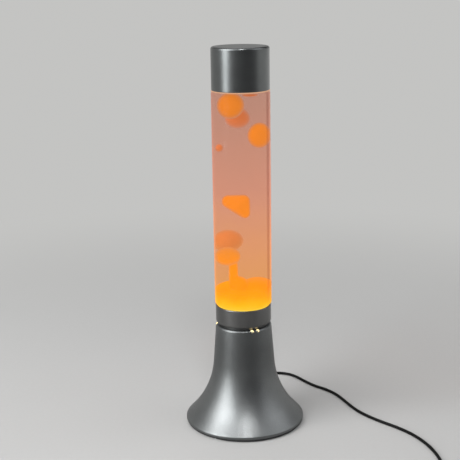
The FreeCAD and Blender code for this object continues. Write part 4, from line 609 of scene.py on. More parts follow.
# %% [markdown]
# The cord is 3 mm thick and about 1.8 m long. Only its first part, which falls from the
# tapered relief at the back of the base and comes round the right side, is seen. The rest
# lies in front of the lamp, out of the picture: a rocker switch, the spare length wound in a
# small coil with two ties, and the plug. A smooth spline with a round bevel is what a
# cord is, so each stretch is a NURBS curve through its route's own points.

# %% Cord helper
CORD_RADIUS = 1.5 * MM


def cord_curve(name, points):
    """A round cord along control points in millimetres."""
    curve = bpy.data.curves.new(name, "CURVE")
    curve.dimensions = "3D"
    curve.bevel_depth = CORD_RADIUS
    curve.bevel_resolution = 4
    curve.resolution_u = 10
    curve.use_fill_caps = True
    spline = curve.splines.new("NURBS")
    spline.points.add(len(points) - 1)
    for control, point in zip(spline.points, points):
        control.co = (*(Vector(point) * MM), 1)
    spline.order_u = 3
    spline.use_endpoint_u = True
    curve.materials.append(cord_sheath)
    return add_piece(name, curve)


# %% First stretch: from the base to the switch
FIRST_ROUTE = [
    (0.0, 79.8, 8.6), (0.0, 88.5, 8.6), (3.0, 98.5, 5.2), (10.5, 107.0, 2.2), (23.0, 111.6, 1.5),
    (36.0, 112.0, 1.5), (48.5, 109.0, 1.5), (58.0, 99.5, 1.5), (66.0, 86.5, 1.5), (75.5, 74.0, 1.5),
    (86.5, 65.0, 1.5), (95.5, 53.0, 1.5), (102.0, 39.0, 1.5), (107.5, 24.0, 1.5), (114.5, 8.5, 1.5),
    (124.5, -6.0, 1.5), (136.5, -19.0, 1.5), (149.5, -31.5, 1.5), (161.0, -46.0, 1.5),
    (169.5, -62.5, 1.5), (175.0, -80.0, 1.5), (178.0, -98.0, 1.5), (177.5, -114.0, 1.8),
    (172.5, -128.0, 3.5), (162.0, -137.0, 5.8), (150.0, -140.0, 6.6),
]
first_cord = cord_curve("cord_from_base", FIRST_ROUTE)
stand_for(first_cord, "base", "cord_sheath", "cord_run")

# %% Route of the coil
COIL_CENTRE = (50.0, -162.5)
COIL_RADIUS, COIL_PITCH, COIL_COLUMNS, COIL_LAYERS, COIL_LOW = 22.5, 3.45, 3, 4, 2.3
CONTROLS_PER_HALF_TURN = 6


def half_turn_controls(start, stop, side):
    """Control points round a half circle that bulges to the left (-1) or the right (1)."""
    middle = (start + stop) / 2
    reach = (stop - start).length / 2
    step = math.pi / CONTROLS_PER_HALF_TURN
    outside = 1 / math.cos(step / 2)
    bulge = Vector((side, 0, 0)) * reach * outside
    arm = (start - middle) * outside
    angles = [step * (k + 0.5) for k in range(CONTROLS_PER_HALF_TURN)]
    return [middle + arm * math.cos(a) + bulge * math.sin(a) for a in angles]


def coil_controls():
    """In and out again, layer on layer: left halves change the radius, and right ones keep it or climb."""
    controls, out, height, inward = [], COIL_RADIUS, COIL_LOW, 1
    here = Vector((COIL_CENTRE[0], COIL_CENTRE[1] + out, height))
    for layer in range(COIL_LAYERS):
        for column in range(COIL_COLUMNS):
            front = Vector((COIL_CENTRE[0], COIL_CENTRE[1] - (out - inward * COIL_PITCH), height))
            controls += half_turn_controls(here, front, -1)
            out -= inward * COIL_PITCH
            if column == COIL_COLUMNS - 1 and layer < COIL_LAYERS - 1:
                height += COIL_PITCH
            here = Vector((COIL_CENTRE[0], COIL_CENTRE[1] + out, height))
            controls += half_turn_controls(front, here, 1)
        inward = -inward
    return controls


# %% Second stretch: switch, coil and plug
LINK_ROUTE = [
    (90.0, -140.0, 6.6), (81.0, -139.4, 5.9), (69.0, -139.5, 3.4), (60.5, -139.9, 2.4),
    (53.5, -140.0, 2.3),
]
TAIL_ROUTE = [
    (46.5, -140.0, 12.65), (37.5, -139.8, 12.2), (28.0, -139.4, 9.6), (18.5, -140.0, 6.8),
    (8.0, -140.0, 6.8), (-2.0, -140.0, 6.8), (-9.5, -140.0, 6.8),
]
second_route = LINK_ROUTE + coil_controls() + TAIL_ROUTE
second_cord = cord_curve("cord_coil_and_tail", second_route)
stand_for(second_cord, "base", "cord_sheath", "cord_link", "cord_coil", "cord_tail", "cord_in_plug")
inner_cord = cord_curve("cord_inside_base", [(0.0, 79.8, 8.6), (0.0, 58.0, 8.6), (0.0, 37.4, 8.6)])
stand_for(inner_cord, "base", "cord_sheath", "cord_inner")
print("cords:", len(FIRST_ROUTE), "and", len(second_route), "control points")

# %% [markdown]
# Nearly everything else on the lamp is turned: the shell, the collar, the vessel, the cap
# and the bulb have one outline each, spun round the axis. The outline is drawn here as
# corners and arcs, its sharp corners are eased a little so that they catch light, and a
# Geometry Nodes tree carries it round. The same tree can press flutes into a band of
# the piece, which is how the crown stopper gets its skirt.

# %% Outlines
ARC_STEP = math.radians(5)
FINE_ARC_STEP = math.radians(2)
# a bend sharper than this is eased, over no more than this share of the sides next to it
EASED_BEND, EASED_SHARE = math.radians(24), 0.35
TOUCHING = 1e-6


def arc_points(start, stop, radius, turn, step):
    """Points along an arc after its start, as far as its end. turn is 1 for anticlockwise travel."""
    chord = stop - start
    rise = math.sqrt(max(radius**2 - (chord.length / 2) ** 2, 0.0))
    left = Vector((-chord.y, chord.x)).normalized()
    centre = (start + stop) / 2 + left * rise * turn
    first = math.atan2(start.y - centre.y, start.x - centre.x)
    last = math.atan2(stop.y - centre.y, stop.x - centre.x)
    sweep = (last - first) % math.tau if turn > 0 else -((first - last) % math.tau)
    count = max(2, int(abs(sweep) / step) + 1)
    angles = [first + sweep * k / count for k in range(1, count + 1)]
    return [centre + Vector((math.cos(a), math.sin(a))) * radius for a in angles]


def outline(corners, ease=0.12, closed=True, step=ARC_STEP):
    """Points in millimetres along corners (radius, height[, arc radius, turn]), with sharp corners eased."""
    points = [Vector(corners[0][:2])]
    ends = corners[1:] + corners[:1] if closed else corners[1:]
    for corner, end in zip(corners, ends):
        there = Vector(end[:2])
        points += arc_points(Vector(corner[:2]), there, *corner[2:], step) if len(corner) > 2 else [there]
    return hold_runs(ease_corners(points, ease))


# %% Eased corners and level runs
# a run is long past so many holds, and next to a side that is so many times shorter
LONG_IN_HOLDS, LONG_BY_SIDES = 4, 3


def hold_runs(points, hold=0.4):
    """Keeps a long straight run's shading level up to its ends, where it would bend towards a short side."""
    held = [points[0]]
    for k in range(1, len(points)):
        here, there = points[k - 1], points[k]
        run, along = (there - here).length, (there - here).normalized()
        long, short = run > LONG_IN_HOLDS * hold, run / LONG_BY_SIDES
        before = (here - points[k - 2]).length if k > 1 else 0.0
        after = (points[k + 1] - there).length if k + 1 < len(points) else 0.0
        if long and before < short:
            held.append(here + along * hold)
        if long and after < short:
            held.append(there - along * hold)
        held.append(there)
    return held


def ease_corners(points, ease):
    """Replaces each sharp corner by three points of a small curve."""
    eased = [points[0]]
    for before, here, after in zip(points, points[1:], points[2:]):
        back, ahead = before - here, after - here
        if min(back.length, ahead.length) < TOUCHING:
            continue
        bend = math.pi - back.angle(ahead)
        if bend < EASED_BEND:
            eased.append(here)
            continue
        reach = min(ease, EASED_SHARE * back.length, EASED_SHARE * ahead.length)
        near, far = here + back.normalized() * reach, here + ahead.normalized() * reach
        eased += [near, (near + far + here * 2) / 4, far]
    eased.append(points[-1])
    return eased


# %% Geometry Nodes lathe
LATHE_INPUTS = {
    "Outline": "Geometry",
    "Outline points": "Int",
    "Steps round": "Int",
    "Flutes": "Int",
    "Flute depth": "Float",
    "Flute top": "Float",
    "Flute foot": "Float",
    "Finish": "Material",
}


def build_lathe():
    """Carries an outline, a row of points in the XZ plane, round the Z axis, with optional flutes."""
    tree = bpy.data.node_groups.new("Lathe", "GeometryNodeTree")
    for label, kind in LATHE_INPUTS.items():
        tree.interface.new_socket(label, in_out="INPUT", socket_type="NodeSocket" + kind)
    tree.interface.new_socket("Piece", in_out="OUTPUT", socket_type="NodeSocketGeometry")
    given = add_node(tree, "NodeGroupInput").outputs
    count, steps, top = given["Outline points"], given["Steps round"], given["Flute top"]
    grid = add_node(tree, "GeometryNodeMeshGrid", in_Vertices_X=plus(tree, steps, 1.0), in_Vertices_Y=count)
    # the grid's points run along the outline, column by column; a little is added where a whole number could
    # be rounded down
    index = add_node(tree, "GeometryNodeInputIndex").outputs[0]
    column = math_node(tree, "FLOOR", math_node(tree, "DIVIDE", plus(tree, index, 0.5), count))
    row = less(tree, index, times(tree, column, count))
    sample = add_node(
        tree, "GeometryNodeSampleIndex", data_type="FLOAT_VECTOR", in_Geometry=given["Outline"],
        in_Value=add_node(tree, "GeometryNodeInputPosition").outputs[0], in_Index=plus(tree, row, 0.1),
    )
    place = add_node(tree, "SeparateXYZ", in_0=sample.outputs["Value"]).outputs
    turn = times(tree, math_node(tree, "DIVIDE", column, steps), math.tau)
    wave = math_node(tree, "COSINE", times(tree, turn, given["Flutes"]))
    span = less(tree, top, given["Flute foot"])
    drop = math_node(tree, "DIVIDE", less(tree, top, place["Z"]), span, clamp=True)
    reach = plus(tree, place["X"], times(tree, times(tree, wave, drop), given["Flute depth"]))
    spot = add_node(
        tree, "CombineXYZ", in_X=times(tree, reach, math_node(tree, "COSINE", turn)),
        in_Y=times(tree, reach, math_node(tree, "SINE", turn)), in_Z=place["Z"],
    )
    piece = grid.outputs["Mesh"]
    for kind, settings in (
        ("SetPosition", {"in_Position": spot.outputs[0]}),
        ("MergeByDistance", {"in_Distance": TOUCHING}),
        ("SetShadeSmooth", {}),
        ("RealizeInstances", {}),
        ("SetMaterial", {"in_Material": given["Finish"]}),
    ):
        piece = add_node(tree, "GeometryNode" + kind, in_Geometry=piece, **settings).outputs[0]
    add_node(tree, "NodeGroupOutput", in_Piece=piece)
    return tree


lathe = build_lathe()
print("lathe:", len(lathe.nodes), "nodes")


# %% From modifiers to a clean mesh
SHARP_ANGLE = math.radians(32)


def bake(piece):
    """Swaps a piece's mesh for what its modifiers make of it, and returns that."""
    bpy.context.view_layer.update()
    ready = piece.evaluated_get(bpy.context.evaluated_depsgraph_get())
    baked = bpy.data.meshes.new_from_object(ready)
    piece.modifiers.clear()
    piece.data = baked
    return baked


def tidy_mesh(mesh):
    """Merges what touches, turns every face outwards and keeps only real edges sharp."""
    work = bmesh.new()
    work.from_mesh(mesh)
    bmesh.ops.remove_doubles(work, verts=work.verts, dist=TOUCHING)
    bmesh.ops.dissolve_degenerate(work, edges=work.edges, dist=TOUCHING / 10)
    bmesh.ops.recalc_face_normals(work, faces=work.faces)
    if work.calc_volume(signed=True) < 0:
        bmesh.ops.reverse_faces(work, faces=work.faces)
    work.to_mesh(mesh)
    work.free()
    mesh.shade_smooth()
    mesh.set_sharp_from_angle(angle=SHARP_ANGLE)


# %% Turned pieces from the lathe
def turned_piece(name, points, material, steps=128, flutes=(0, 0.0, 1.0, 0.0)):
    """A piece turned from outline points in millimetres. flutes is (number, depth, top, foot)."""
    mesh = bpy.data.meshes.new(name + "_outline")
    places = [(point.x * MM, 0, point.y * MM) for point in points]
    mesh.from_pydata(places, [(k, k + 1) for k in range(len(points) - 1)], [])
    piece = add_piece(name, mesh)
    modifier = piece.modifiers.new("Lathe", "NODES")
    modifier.node_group = lathe
    values = {
        "Outline points": len(points),
        "Steps round": steps,
        "Flutes": flutes[0],
        "Flute depth": flutes[1] * MM,
        "Flute top": flutes[2] * MM,
        "Flute foot": flutes[3] * MM,
        "Finish": material,
    }
    for socket in lathe.interface.items_tree:
        if socket.item_type == "SOCKET" and socket.in_out == "INPUT" and socket.name in values:
            modifier[socket.identifier] = values[socket.name]
    baked = bake(piece)
    baked.name = name
    tidy_mesh(baked)
    return piece


# %% [markdown]
# The base shell is one sheet of aluminium, spun into a trumpet. It has a short lip at the
# foot, a flange turned in for the plate's screws, and a rim rolled over at the mouth. Six
# small holes, in three pairs, are drilled through the rolled rim, and a painted glow of warm
# light from the bulb shows in the two at the front. The cord has its own hole at the back.

# %% Base shell's outline
BASE_RADIUS, WALL, LIP = 58.4, 1.4, 2.4
FLARE, FLARE_RUN, FLARE_ARC = math.radians(43.1), 5.8, 85.9
TAPER, RIM, ROLL, MOUTH, FLANGE = math.radians(4.3), 101.4, 2.4, 24.3, 7.0
SHELL_LOW = 2.6


def shell_corners():
    """The shell's outline, out and back in, and the centre of its rolled rim: (corners, radius, height)."""
    cone_top = (BASE_RADIUS - FLARE_RUN * math.tan(FLARE), SHELL_LOW + LIP + FLARE_RUN)
    centre = (cone_top[0] + FLARE_ARC * math.cos(FLARE), cone_top[1] + FLARE_ARC * math.sin(FLARE))
    arc_top = (centre[0] - FLARE_ARC * math.cos(TAPER), centre[1] - FLARE_ARC * math.sin(TAPER))
    roll_z = RIM - ROLL
    lean = (roll_z + ROLL * math.sin(TAPER) - arc_top[1]) * math.tan(TAPER)
    roll_r = arc_top[0] - lean - ROLL * math.cos(TAPER)
    inner_arc, inner_roll = FLARE_ARC + WALL, ROLL - WALL
    inner_cone = (centre[0] - inner_arc * math.cos(FLARE), centre[1] - inner_arc * math.sin(FLARE))
    lip_inner = BASE_RADIUS - WALL
    inner_lip_top = inner_cone[1] - (lip_inner - inner_cone[0]) / math.tan(FLARE)
    corners = [
        (BASE_RADIUS - FLANGE, SHELL_LOW),
        (BASE_RADIUS, SHELL_LOW),
        (BASE_RADIUS, SHELL_LOW + LIP),
        (*cone_top, FLARE_ARC, -1),
        arc_top,
        (roll_r + ROLL * math.cos(TAPER), roll_z + ROLL * math.sin(TAPER), ROLL, 1),
        (roll_r, RIM),
        (MOUTH, RIM),
        (MOUTH, RIM - WALL),
        (roll_r, RIM - WALL, inner_roll, -1),
        (roll_r + inner_roll * math.cos(TAPER), roll_z + inner_roll * math.sin(TAPER)),
        (centre[0] - inner_arc * math.cos(TAPER), centre[1] - inner_arc * math.sin(TAPER), inner_arc, 1),
        inner_cone,
        (lip_inner, inner_lip_top),
        (lip_inner, SHELL_LOW + WALL),
        (BASE_RADIUS - FLANGE, SHELL_LOW + WALL),
    ]
    return corners, roll_r, roll_z


shell_shape, roll_r, roll_z = shell_corners()
shell_points = outline(shell_shape, ease=0.45, step=FINE_ARC_STEP)
shell = turned_piece("trumpet_shell", shell_points, base_metal, steps=192)
print(f"shell: {len(shell_points)} outline points, rim rolled at radius {roll_r:.2f} mm")


# %% Drilling
def drill(piece, places, radius, length, lining=None):
    """Cuts round holes, each (point, direction) in millimetres, whose walls may have their own finish."""
    tools = bmesh.new()
    for point, direction in places:
        turn = Vector(direction).to_track_quat("Z", "Y").to_matrix().to_4x4()
        bmesh.ops.create_cone(
            tools, cap_ends=True, segments=32, radius1=radius * MM, radius2=radius * MM, depth=length * MM,
            matrix=Matrix.Translation(Vector(point) * MM) @ turn,
        )
    mesh = bpy.data.meshes.new("drill")
    tools.to_mesh(mesh)
    tools.free()
    tool = add_piece("drill", mesh)
    cutter = piece.modifiers.new("Holes", "BOOLEAN")
    cutter.operation, cutter.object, cutter.solver = "DIFFERENCE", tool, "EXACT"
    if lining:
        mesh.materials.append(lining)
        cutter.material_mode = "TRANSFER"
    baked = bake(piece)
    bpy.data.objects.remove(tool)
    bpy.data.meshes.remove(mesh)
    tidy_mesh(baked)


# %% Vents, cord hole and screw holes
VENT_BEARINGS, VENT_PAIRS, VENT_RADIUS, VENT_LENGTH = (17.5, 30.5), 3, 1.5, 4.0
CORD_HEIGHT, CORD_HOLE_RADIUS, CORD_HOLE_LENGTH = 8.6, 3.5, 24.0
SCREWS, SCREW_HOLE_RADIUS, SCREW_HOLE_LENGTH = 3, 1.5, 2.4
vents = []
for pair in range(VENT_PAIRS):
    for bearing in VENT_BEARINGS:
        angle = math.radians(bearing - 90 + 360 / VENT_PAIRS * pair)
        out = Vector((math.cos(angle), math.sin(angle), 0))
        direction = (out + Vector((0, 0, 1))).normalized()
        vents.append((out * roll_r + Vector((0, 0, roll_z)) + direction * (ROLL - WALL / 2), direction))
# the vents' walls are lined with a painted glow that stands in for the bulb's light
drill(shell, vents, VENT_RADIUS, VENT_LENGTH, lining=vent_painted_glow)
drill(shell, [((0, BASE_RADIUS, CORD_HEIGHT), (0, 1, 0))], CORD_HOLE_RADIUS, CORD_HOLE_LENGTH)
flange_middle = BASE_RADIUS - FLANGE / 2
screw_holes = []
for k in range(SCREWS):
    angle = k * math.tau / SCREWS
    spot = (flange_middle * math.cos(angle), flange_middle * math.sin(angle), SHELL_LOW + WALL / 2)
    screw_holes.append((spot, (0, 0, 1)))
drill(shell, screw_holes, SCREW_HOLE_RADIUS, SCREW_HOLE_LENGTH)
stand_for(shell, "base", "spun_aluminium", "base_shell")

# %% [markdown]
# The collar is a dark spun ring round the vessel's foot, and its tapered lower end stands on
# the base's rim. The cap is the same kind of cup upside down, with a rounded top edge.

# %% Collar and cap
COLLAR_TOP, COLLAR_RADIUS, COLLAR_LOW_RADIUS, COLLAR_TAPER, COLLAR_EDGE = 121.4, 27.05, 24.95, 3.6, 0.5
FOOT_OUTER = 25.85
HEEL, HEEL_R, HEEL_Z = 10.0, 15.85, 107.5
heel_at_rim = HEEL_R + math.sqrt(HEEL**2 - (HEEL_Z - RIM) ** 2)
collar_shape = [
    (heel_at_rim, RIM), (COLLAR_LOW_RADIUS, RIM), (COLLAR_RADIUS, RIM + COLLAR_TAPER),
    (COLLAR_RADIUS, COLLAR_TOP - COLLAR_EDGE), (COLLAR_RADIUS - COLLAR_EDGE, COLLAR_TOP),
    (FOOT_OUTER, COLLAR_TOP), (FOOT_OUTER, HEEL_Z, HEEL, -1),
]
collar = turned_piece("foot_collar", outline(collar_shape, ease=0.3), collar_metal)
stand_for(collar, "bottle", "collar_aluminium", "collar")
GLASS_TOP, CAP_TOP, CAP_RADIUS, CAP_WALL, CAP_EDGE = 330.0, 370.0, 27.35, 1.2, 2.2
cap_shape = [
    (CAP_RADIUS - CAP_WALL, GLASS_TOP), (CAP_RADIUS, GLASS_TOP),
    (CAP_RADIUS, CAP_TOP - CAP_EDGE, CAP_EDGE, 1), (CAP_RADIUS - CAP_EDGE, CAP_TOP), (0, CAP_TOP),
    (0, CAP_TOP - CAP_WALL), (CAP_RADIUS - CAP_EDGE, CAP_TOP - CAP_WALL, CAP_EDGE - CAP_WALL, -1),
    (CAP_RADIUS - CAP_WALL, CAP_TOP - CAP_EDGE),
]
cap = turned_piece("top_cap", outline(cap_shape, ease=0.25), cap_metal)
stand_for(cap, "cap", "cap_metal", "cap")

# %% [markdown]
# The vessel is blown glass with a thick rounded foot and a bottle neck that the cap hides. Its
# outline runs up the outside and comes back down the inside. Light bends in the real wall,
# so that from outside the liquid seems to fill the whole width of the glass. Here nothing
# bends, so the straight wall is drawn thin, and what is in the vessel reaches out to it.

# %% Vessel
GLASS_RADIUS, GLASS_EDGE, GLASS_LOW, FLOOR_TOP = 28.05, 1.5, 97.5, 100.0
INNER, FOOT_INNER, FOOT_BEND = 27.75, 23.35, 7.5
# the inside widens from the thick foot to the thin wall
WIDENING = [(FOOT_INNER, 118.4), (25.40, 120.4), (25.60, 121.6), (INNER, 123.4)]
WALL_TOP, SHOULDER_INNER_LOW, SHOULDER_LOW = 327.5, 332.0, 337.0
SHOULDER_RADIUS, SHOULDER, NECK_FILLET = 26.10, 9.0, 4.8
INNER_SHOULDER, INNER_FILLET = 6.25, 7.55
NECK_RADIUS, NECK_BORE, NECK_LOW, LIP_LOW, LIP_RADIUS, LIP_TOP = 12.30, 9.55, 350.8, 357.0, 13.30, 362.5
neck_turn = SHOULDER_RADIUS - SHOULDER
vessel_shape = [
    (0, GLASS_LOW), (HEEL_R, GLASS_LOW, HEEL, 1), (FOOT_OUTER, HEEL_Z), (FOOT_OUTER, COLLAR_TOP),
    (GLASS_RADIUS - GLASS_EDGE, COLLAR_TOP, GLASS_EDGE, 1), (GLASS_RADIUS, COLLAR_TOP + GLASS_EDGE),
    (GLASS_RADIUS, GLASS_TOP - GLASS_EDGE, GLASS_EDGE, 1), (GLASS_RADIUS - GLASS_EDGE, GLASS_TOP),
    (SHOULDER_RADIUS, GLASS_TOP), (SHOULDER_RADIUS, SHOULDER_LOW, SHOULDER, 1),
    (neck_turn, SHOULDER_LOW + SHOULDER, NECK_FILLET, -1), (NECK_RADIUS, NECK_LOW),
    (NECK_RADIUS, LIP_LOW), (LIP_RADIUS, LIP_LOW), (LIP_RADIUS, LIP_TOP), (NECK_BORE, LIP_TOP),
    (NECK_BORE, NECK_LOW, INNER_FILLET, 1), (neck_turn, SHOULDER_LOW + INNER_SHOULDER, INNER_SHOULDER, -1),
    (FOOT_INNER, SHOULDER_LOW), (FOOT_INNER, SHOULDER_INNER_LOW), (INNER, WALL_TOP), *reversed(WIDENING),
    (FOOT_INNER, HEEL_Z, FOOT_BEND, -1), (HEEL_R, FLOOR_TOP), (0, FLOOR_TOP),
]
vessel = turned_piece("glass_body", outline(vessel_shape, ease=0.3, closed=False), vessel_glass)
stand_for(vessel, "bottle", "vessel_glass", "glass_vessel")

# %% [markdown]
# The liquid fills the vessel to just under the shoulder. It is a hair smaller than the
# glass's inside, because two faces in one place would flicker.

# %% Liquid
SKIN = 0.12


def filling(gap, *top):
    """The outline of what fills the vessel, a gap inside its wall, up to corners of its own."""
    return [
        (0, FLOOR_TOP + gap),
        (HEEL_R, FLOOR_TOP + gap, FOOT_BEND - gap, 1),
        (FOOT_INNER - gap, HEEL_Z),
        *((radius - gap, height) for radius, height in WIDENING),
        *top,
    ]


LIQUID_TOP = 335.0
liquid_shape = filling(
    SKIN, (INNER - SKIN, WALL_TOP), (FOOT_INNER - SKIN, SHOULDER_INNER_LOW),
    (FOOT_INNER - SKIN, LIQUID_TOP), (0, LIQUID_TOP),
)
liquid = turned_piece("tinted_liquid", outline(liquid_shape, ease=0.3, closed=False), liquid_glow)
stand_for(liquid, "bottle", "liquid", "liquid")


# %% [markdown]
# Warm wax is never a clean ball. Each drop is an ovoid whose skin is pushed in and out by a
# few slow waves. Where two drops join, or wax rises from the pool, several ovoids overlap: a
# voxel remesh makes them one skin, and smoothing gives it soft necks.

# %% Wax helpers
WAX_GAP, WAX_VOXEL, SOFTENING = SKIN * 2, 0.9, 0.5


def add_ovoid(work, centre, radius, half_height, wobble=0.0, seed=0.0):
    """Adds an ovoid with a slow wobble that differs by seed. radius may be (across, deep)."""
    across, deep = radius if isinstance(radius, tuple) else (radius, radius)
    made = bmesh.ops.create_uvsphere(work, u_segments=56, v_segments=40, radius=1.0)
    for vertex in made["verts"]:
        x, y, z = vertex.co
        wave = math.sin(2.1 * x + seed) * math.cos(1.7 * z - 1.3 * seed)
        wave += 0.6 * math.sin(2.9 * y + 2.3 * z + 2 * seed)
        stretched = Vector((x * across, y * deep, z * half_height)) * (1 + wobble * wave)
        vertex.co = stretched * MM + Vector(centre) * MM


def limit_radius(mesh, most):
    """Keeps a wax mesh inside the vessel's round wall."""
    for vertex in mesh.vertices:
        across = math.hypot(vertex.co.x, vertex.co.y)
        if across > most * MM:
            vertex.co.x *= most * MM / across
            vertex.co.y *= most * MM / across


def wax_skin(name, work, material, node, joined=False, smooth=0):
    """Turns a bmesh into a piece of wax; joined remeshes its parts into a single skin."""
    mesh = bpy.data.meshes.new(name)
    work.to_mesh(mesh)
    work.free()
    piece = add_piece(name, mesh)
    if joined:
        remesh = piece.modifiers.new("Skin", "REMESH")
        remesh.mode, remesh.voxel_size = "VOXEL", WAX_VOXEL * MM
        soften = piece.modifiers.new("Soften", "SMOOTH")
        soften.factor, soften.iterations = SOFTENING, smooth
        bake(piece)
    limit_radius(piece.data, INNER - WAX_GAP)
    piece.data.materials.clear()
    piece.data.materials.append(material)
    piece.data.shade_smooth()
    stand_for(piece, "bottle", "wax", node)


def drop(name, ovoid, material, node):
    """One drop of wax from the numbers of an ovoid."""
    work = bmesh.new()
    add_ovoid(work, *ovoid)
    wax_skin(name, work, material, node)


# %% Drops
drop("wax_at_top", ((-9.6, -11.0, 316.4), (12.6, 11.4), 12.2, 0.02, 0.3), drop_glow, "wax_drop_top")
drop("wax_high_at_back", ((-3.4, 9.4, 302.4), (12.6, 10.2), 10.8, 0.03, 1.9), back_wax_glow, "wax_drop_high")
drop("wax_skin_at_top", ((8.6, 9.0, 324.2), 8.3, 2.7, 0.03, 2.6), back_wax_glow, "wax_film")
drop("wax_at_right", ((17.2, -1.0, 286.9), (11.0, 9.8), 12.0, 0.02, 4.1), drop_glow, "wax_drop_right")
drop("wax_small", ((-21.1, 5.0, 274.4), 4.1, 4.2, 0.03, 0.9), back_wax_glow, "wax_drop_small")
drop("wax_low_at_back", ((-14.4, 9.6, 181.8), (15.2, 9.0), 11.2, 0.03, 3.3), back_wax_glow, "wax_drop_low")

# %% Two drops that are joining
# the hollows between their ovoids are filled before they become one skin
joining = bmesh.new()
for numbers in (
    ((-13.6, -9.0, 225.6), 5.9, 6.0), ((1.6, -9.0, 225.6), 6.2, 6.2), ((2.6, -9.0, 214.4), 5.3, 5.6),
    ((-4.4, -9.0, 222.2), (8.0, 9.2), 8.4),
):
    add_ovoid(joining, *numbers)
hull = bmesh.ops.convex_hull(joining, input=joining.verts)
left_over = hull["geom_interior"] + hull["geom_unused"]
inside = [item for item in left_over if isinstance(item, bmesh.types.BMVert)]
bmesh.ops.delete(joining, geom=inside, context="VERTS")
wax_skin("wax_joining", joining, drop_glow, "wax_drop_middle", joined=True, smooth=14)

# %% [markdown]
# The pool of wax lies on the bottom, over a coiled wire ring that helps the cold wax to
# melt. Its surface is not flat: a mound swells on the right, and a column with a heavy head
# rises on the left. It is built as one closed skin from the pool and four ovoids.

# %% Pool
POOL_TOP = 137.5
pool_shape = filling(WAX_GAP, (INNER - WAX_GAP, POOL_TOP), (0, POOL_TOP))
pool_blank = turned_piece("pool_blank", outline(pool_shape, ease=0.3, closed=False), wax_glow, steps=96)
pool = bmesh.new()
pool.from_mesh(pool_blank.data)
bpy.data.objects.remove(pool_blank)
for numbers in (
    ((14.0, 0.0, 132.6), 19.5, 14.0, 0.01, 0.4), ((-3.4, -7.0, 141.5), 8.6, 9.0),
    ((-14.6, -6.5, 170.8), (12.4, 11.2), 8.6, 0.02, 2.0), ((-9.2, -7.0, 153.0), 4.7, 24.0),
):
    add_ovoid(pool, *numbers)
wax_skin("wax_pool_skin", pool, wax_glow, "wax_pool", joined=True, smooth=10)

# %% [markdown]
# The stopper under the cap is a pressed crown with twenty-one flutes. The lathe carries its
# thin outline round, and its flute inputs push the skirt in and out.

# %% Crown stopper
crown_shape = [
    (0, 363.65), (12.7, 363.65, 1.0, -1), (13.7, 362.65), (13.75, 361.9), (15.75, 358.2), (15.45, 358.1),
    (13.40, 361.8), (13.35, 362.6), (12.7, 363.3), (0, 363.3),
]
crown = turned_piece(
    "fluted_crown", outline(crown_shape, ease=0.05, closed=False), crown_metal, steps=252,
    flutes=(21, 0.42, 362.0, 358.1),
)
stand_for(crown, "bottle", "crown_metal", "crown_stopper")

# %% [markdown]
# The bulb is a small reflector lamp: a screw cap with a rolled thread, silvered sides and a
# frosted front. It is seen only when the vessel is lifted out, or from above.

# %% Bulb
bulb_outside = [
    (4.9, 44.0), (5.7, 44.0), (5.7, 51.0), (7.3, 55.0, 47.2, 1), (19.5, 75.5), (19.5, 78.5, 22.8, 1),
    (0, 89.5),
]
bulb_inside = [
    (0, 88.7, 22.0, -1), (18.7, 78.5), (18.7, 75.5, 47.2, -1), (6.5, 55.6), (4.9, 51.4), (4.9, 44.0),
]
bulb_points = outline(bulb_outside, ease=0.4, closed=False) + outline(bulb_inside, closed=False)
envelope = turned_piece("reflector_bulb", bulb_points, bulb_glow, steps=96)
stand_for(envelope, "base", "bulb_glass", "bulb_envelope")
THREAD_PITCH, THREADS, THREAD_LOW, THREAD_RADIUS, CAP_BORE = 2.82, 5, 32.0, 6.2, 5.7
thread_shape = [(CAP_BORE, 31.0), (THREAD_RADIUS, 31.0)]
THREAD_ARC = THREAD_PITCH * 0.62
thread_shape += [(THREAD_RADIUS, THREAD_LOW + THREAD_PITCH * k, THREAD_ARC, 1) for k in range(THREADS)]
thread_shape += [(THREAD_RADIUS, THREAD_LOW + THREAD_PITCH * THREADS)]
thread_shape += [(THREAD_RADIUS, 50.0), (CAP_BORE, 50.0)]
screw_cap = turned_piece("bulb_thread", outline(thread_shape, ease=0.1), bulb_cap_metal, steps=96)
stand_for(screw_cap, "base", "bulb_cap_metal", "bulb_screw_cap")

# %% [markdown]
# Where the cord leaves the base it is held by a soft moulded relief: a flange outside the
# shell and a tapering, grooved tail. It is turned like the rest and then laid on its side.

# %% Cord relief
TAIL_THICK, TAIL_THIN, TAIL_START, RIBS, RIB_PITCH = 3.5, 2.3, 1.4, 5, 4.0
RIB_FALL, GROOVE, RELIEF_FLANGE, RELIEF_INSIDE = 0.1, 0.45, 5.0, 12.0
BORE = CORD_RADIUS / MM
relief_shape = [
    (BORE, -RELIEF_INSIDE), (TAIL_THICK, -RELIEF_INSIDE), (TAIL_THICK, 0.0), (RELIEF_FLANGE, 0.0),
    (RELIEF_FLANGE, TAIL_START),
]
for rib in range(RIBS):
    outer = TAIL_THICK - (TAIL_THICK - TAIL_THIN) * rib / RIBS
    near = TAIL_START + RIB_PITCH * rib
    middle, far = near + RIB_PITCH / 2, near + RIB_PITCH
    groove = outer - RIB_FALL - GROOVE
    relief_shape += [(outer, near), (outer - RIB_FALL, middle), (groove, middle), (groove - RIB_FALL, far)]
relief_shape += [(BORE, TAIL_START + RIB_PITCH * RIBS)]
relief = turned_piece("cord_boot", outline(relief_shape, ease=0.25), black_moulding, steps=48)
laid_down = Matrix.Rotation(math.radians(-90), 4, "X")
relief.data.transform(Matrix.Translation(Vector((0, BASE_RADIUS, CORD_HEIGHT)) * MM) @ laid_down)
stand_for(relief, "base", "cord_moulding", "cord_relief")

# %% [markdown]
# The pieces that are left keep their exact solids. Each gets its finish in its own slot.

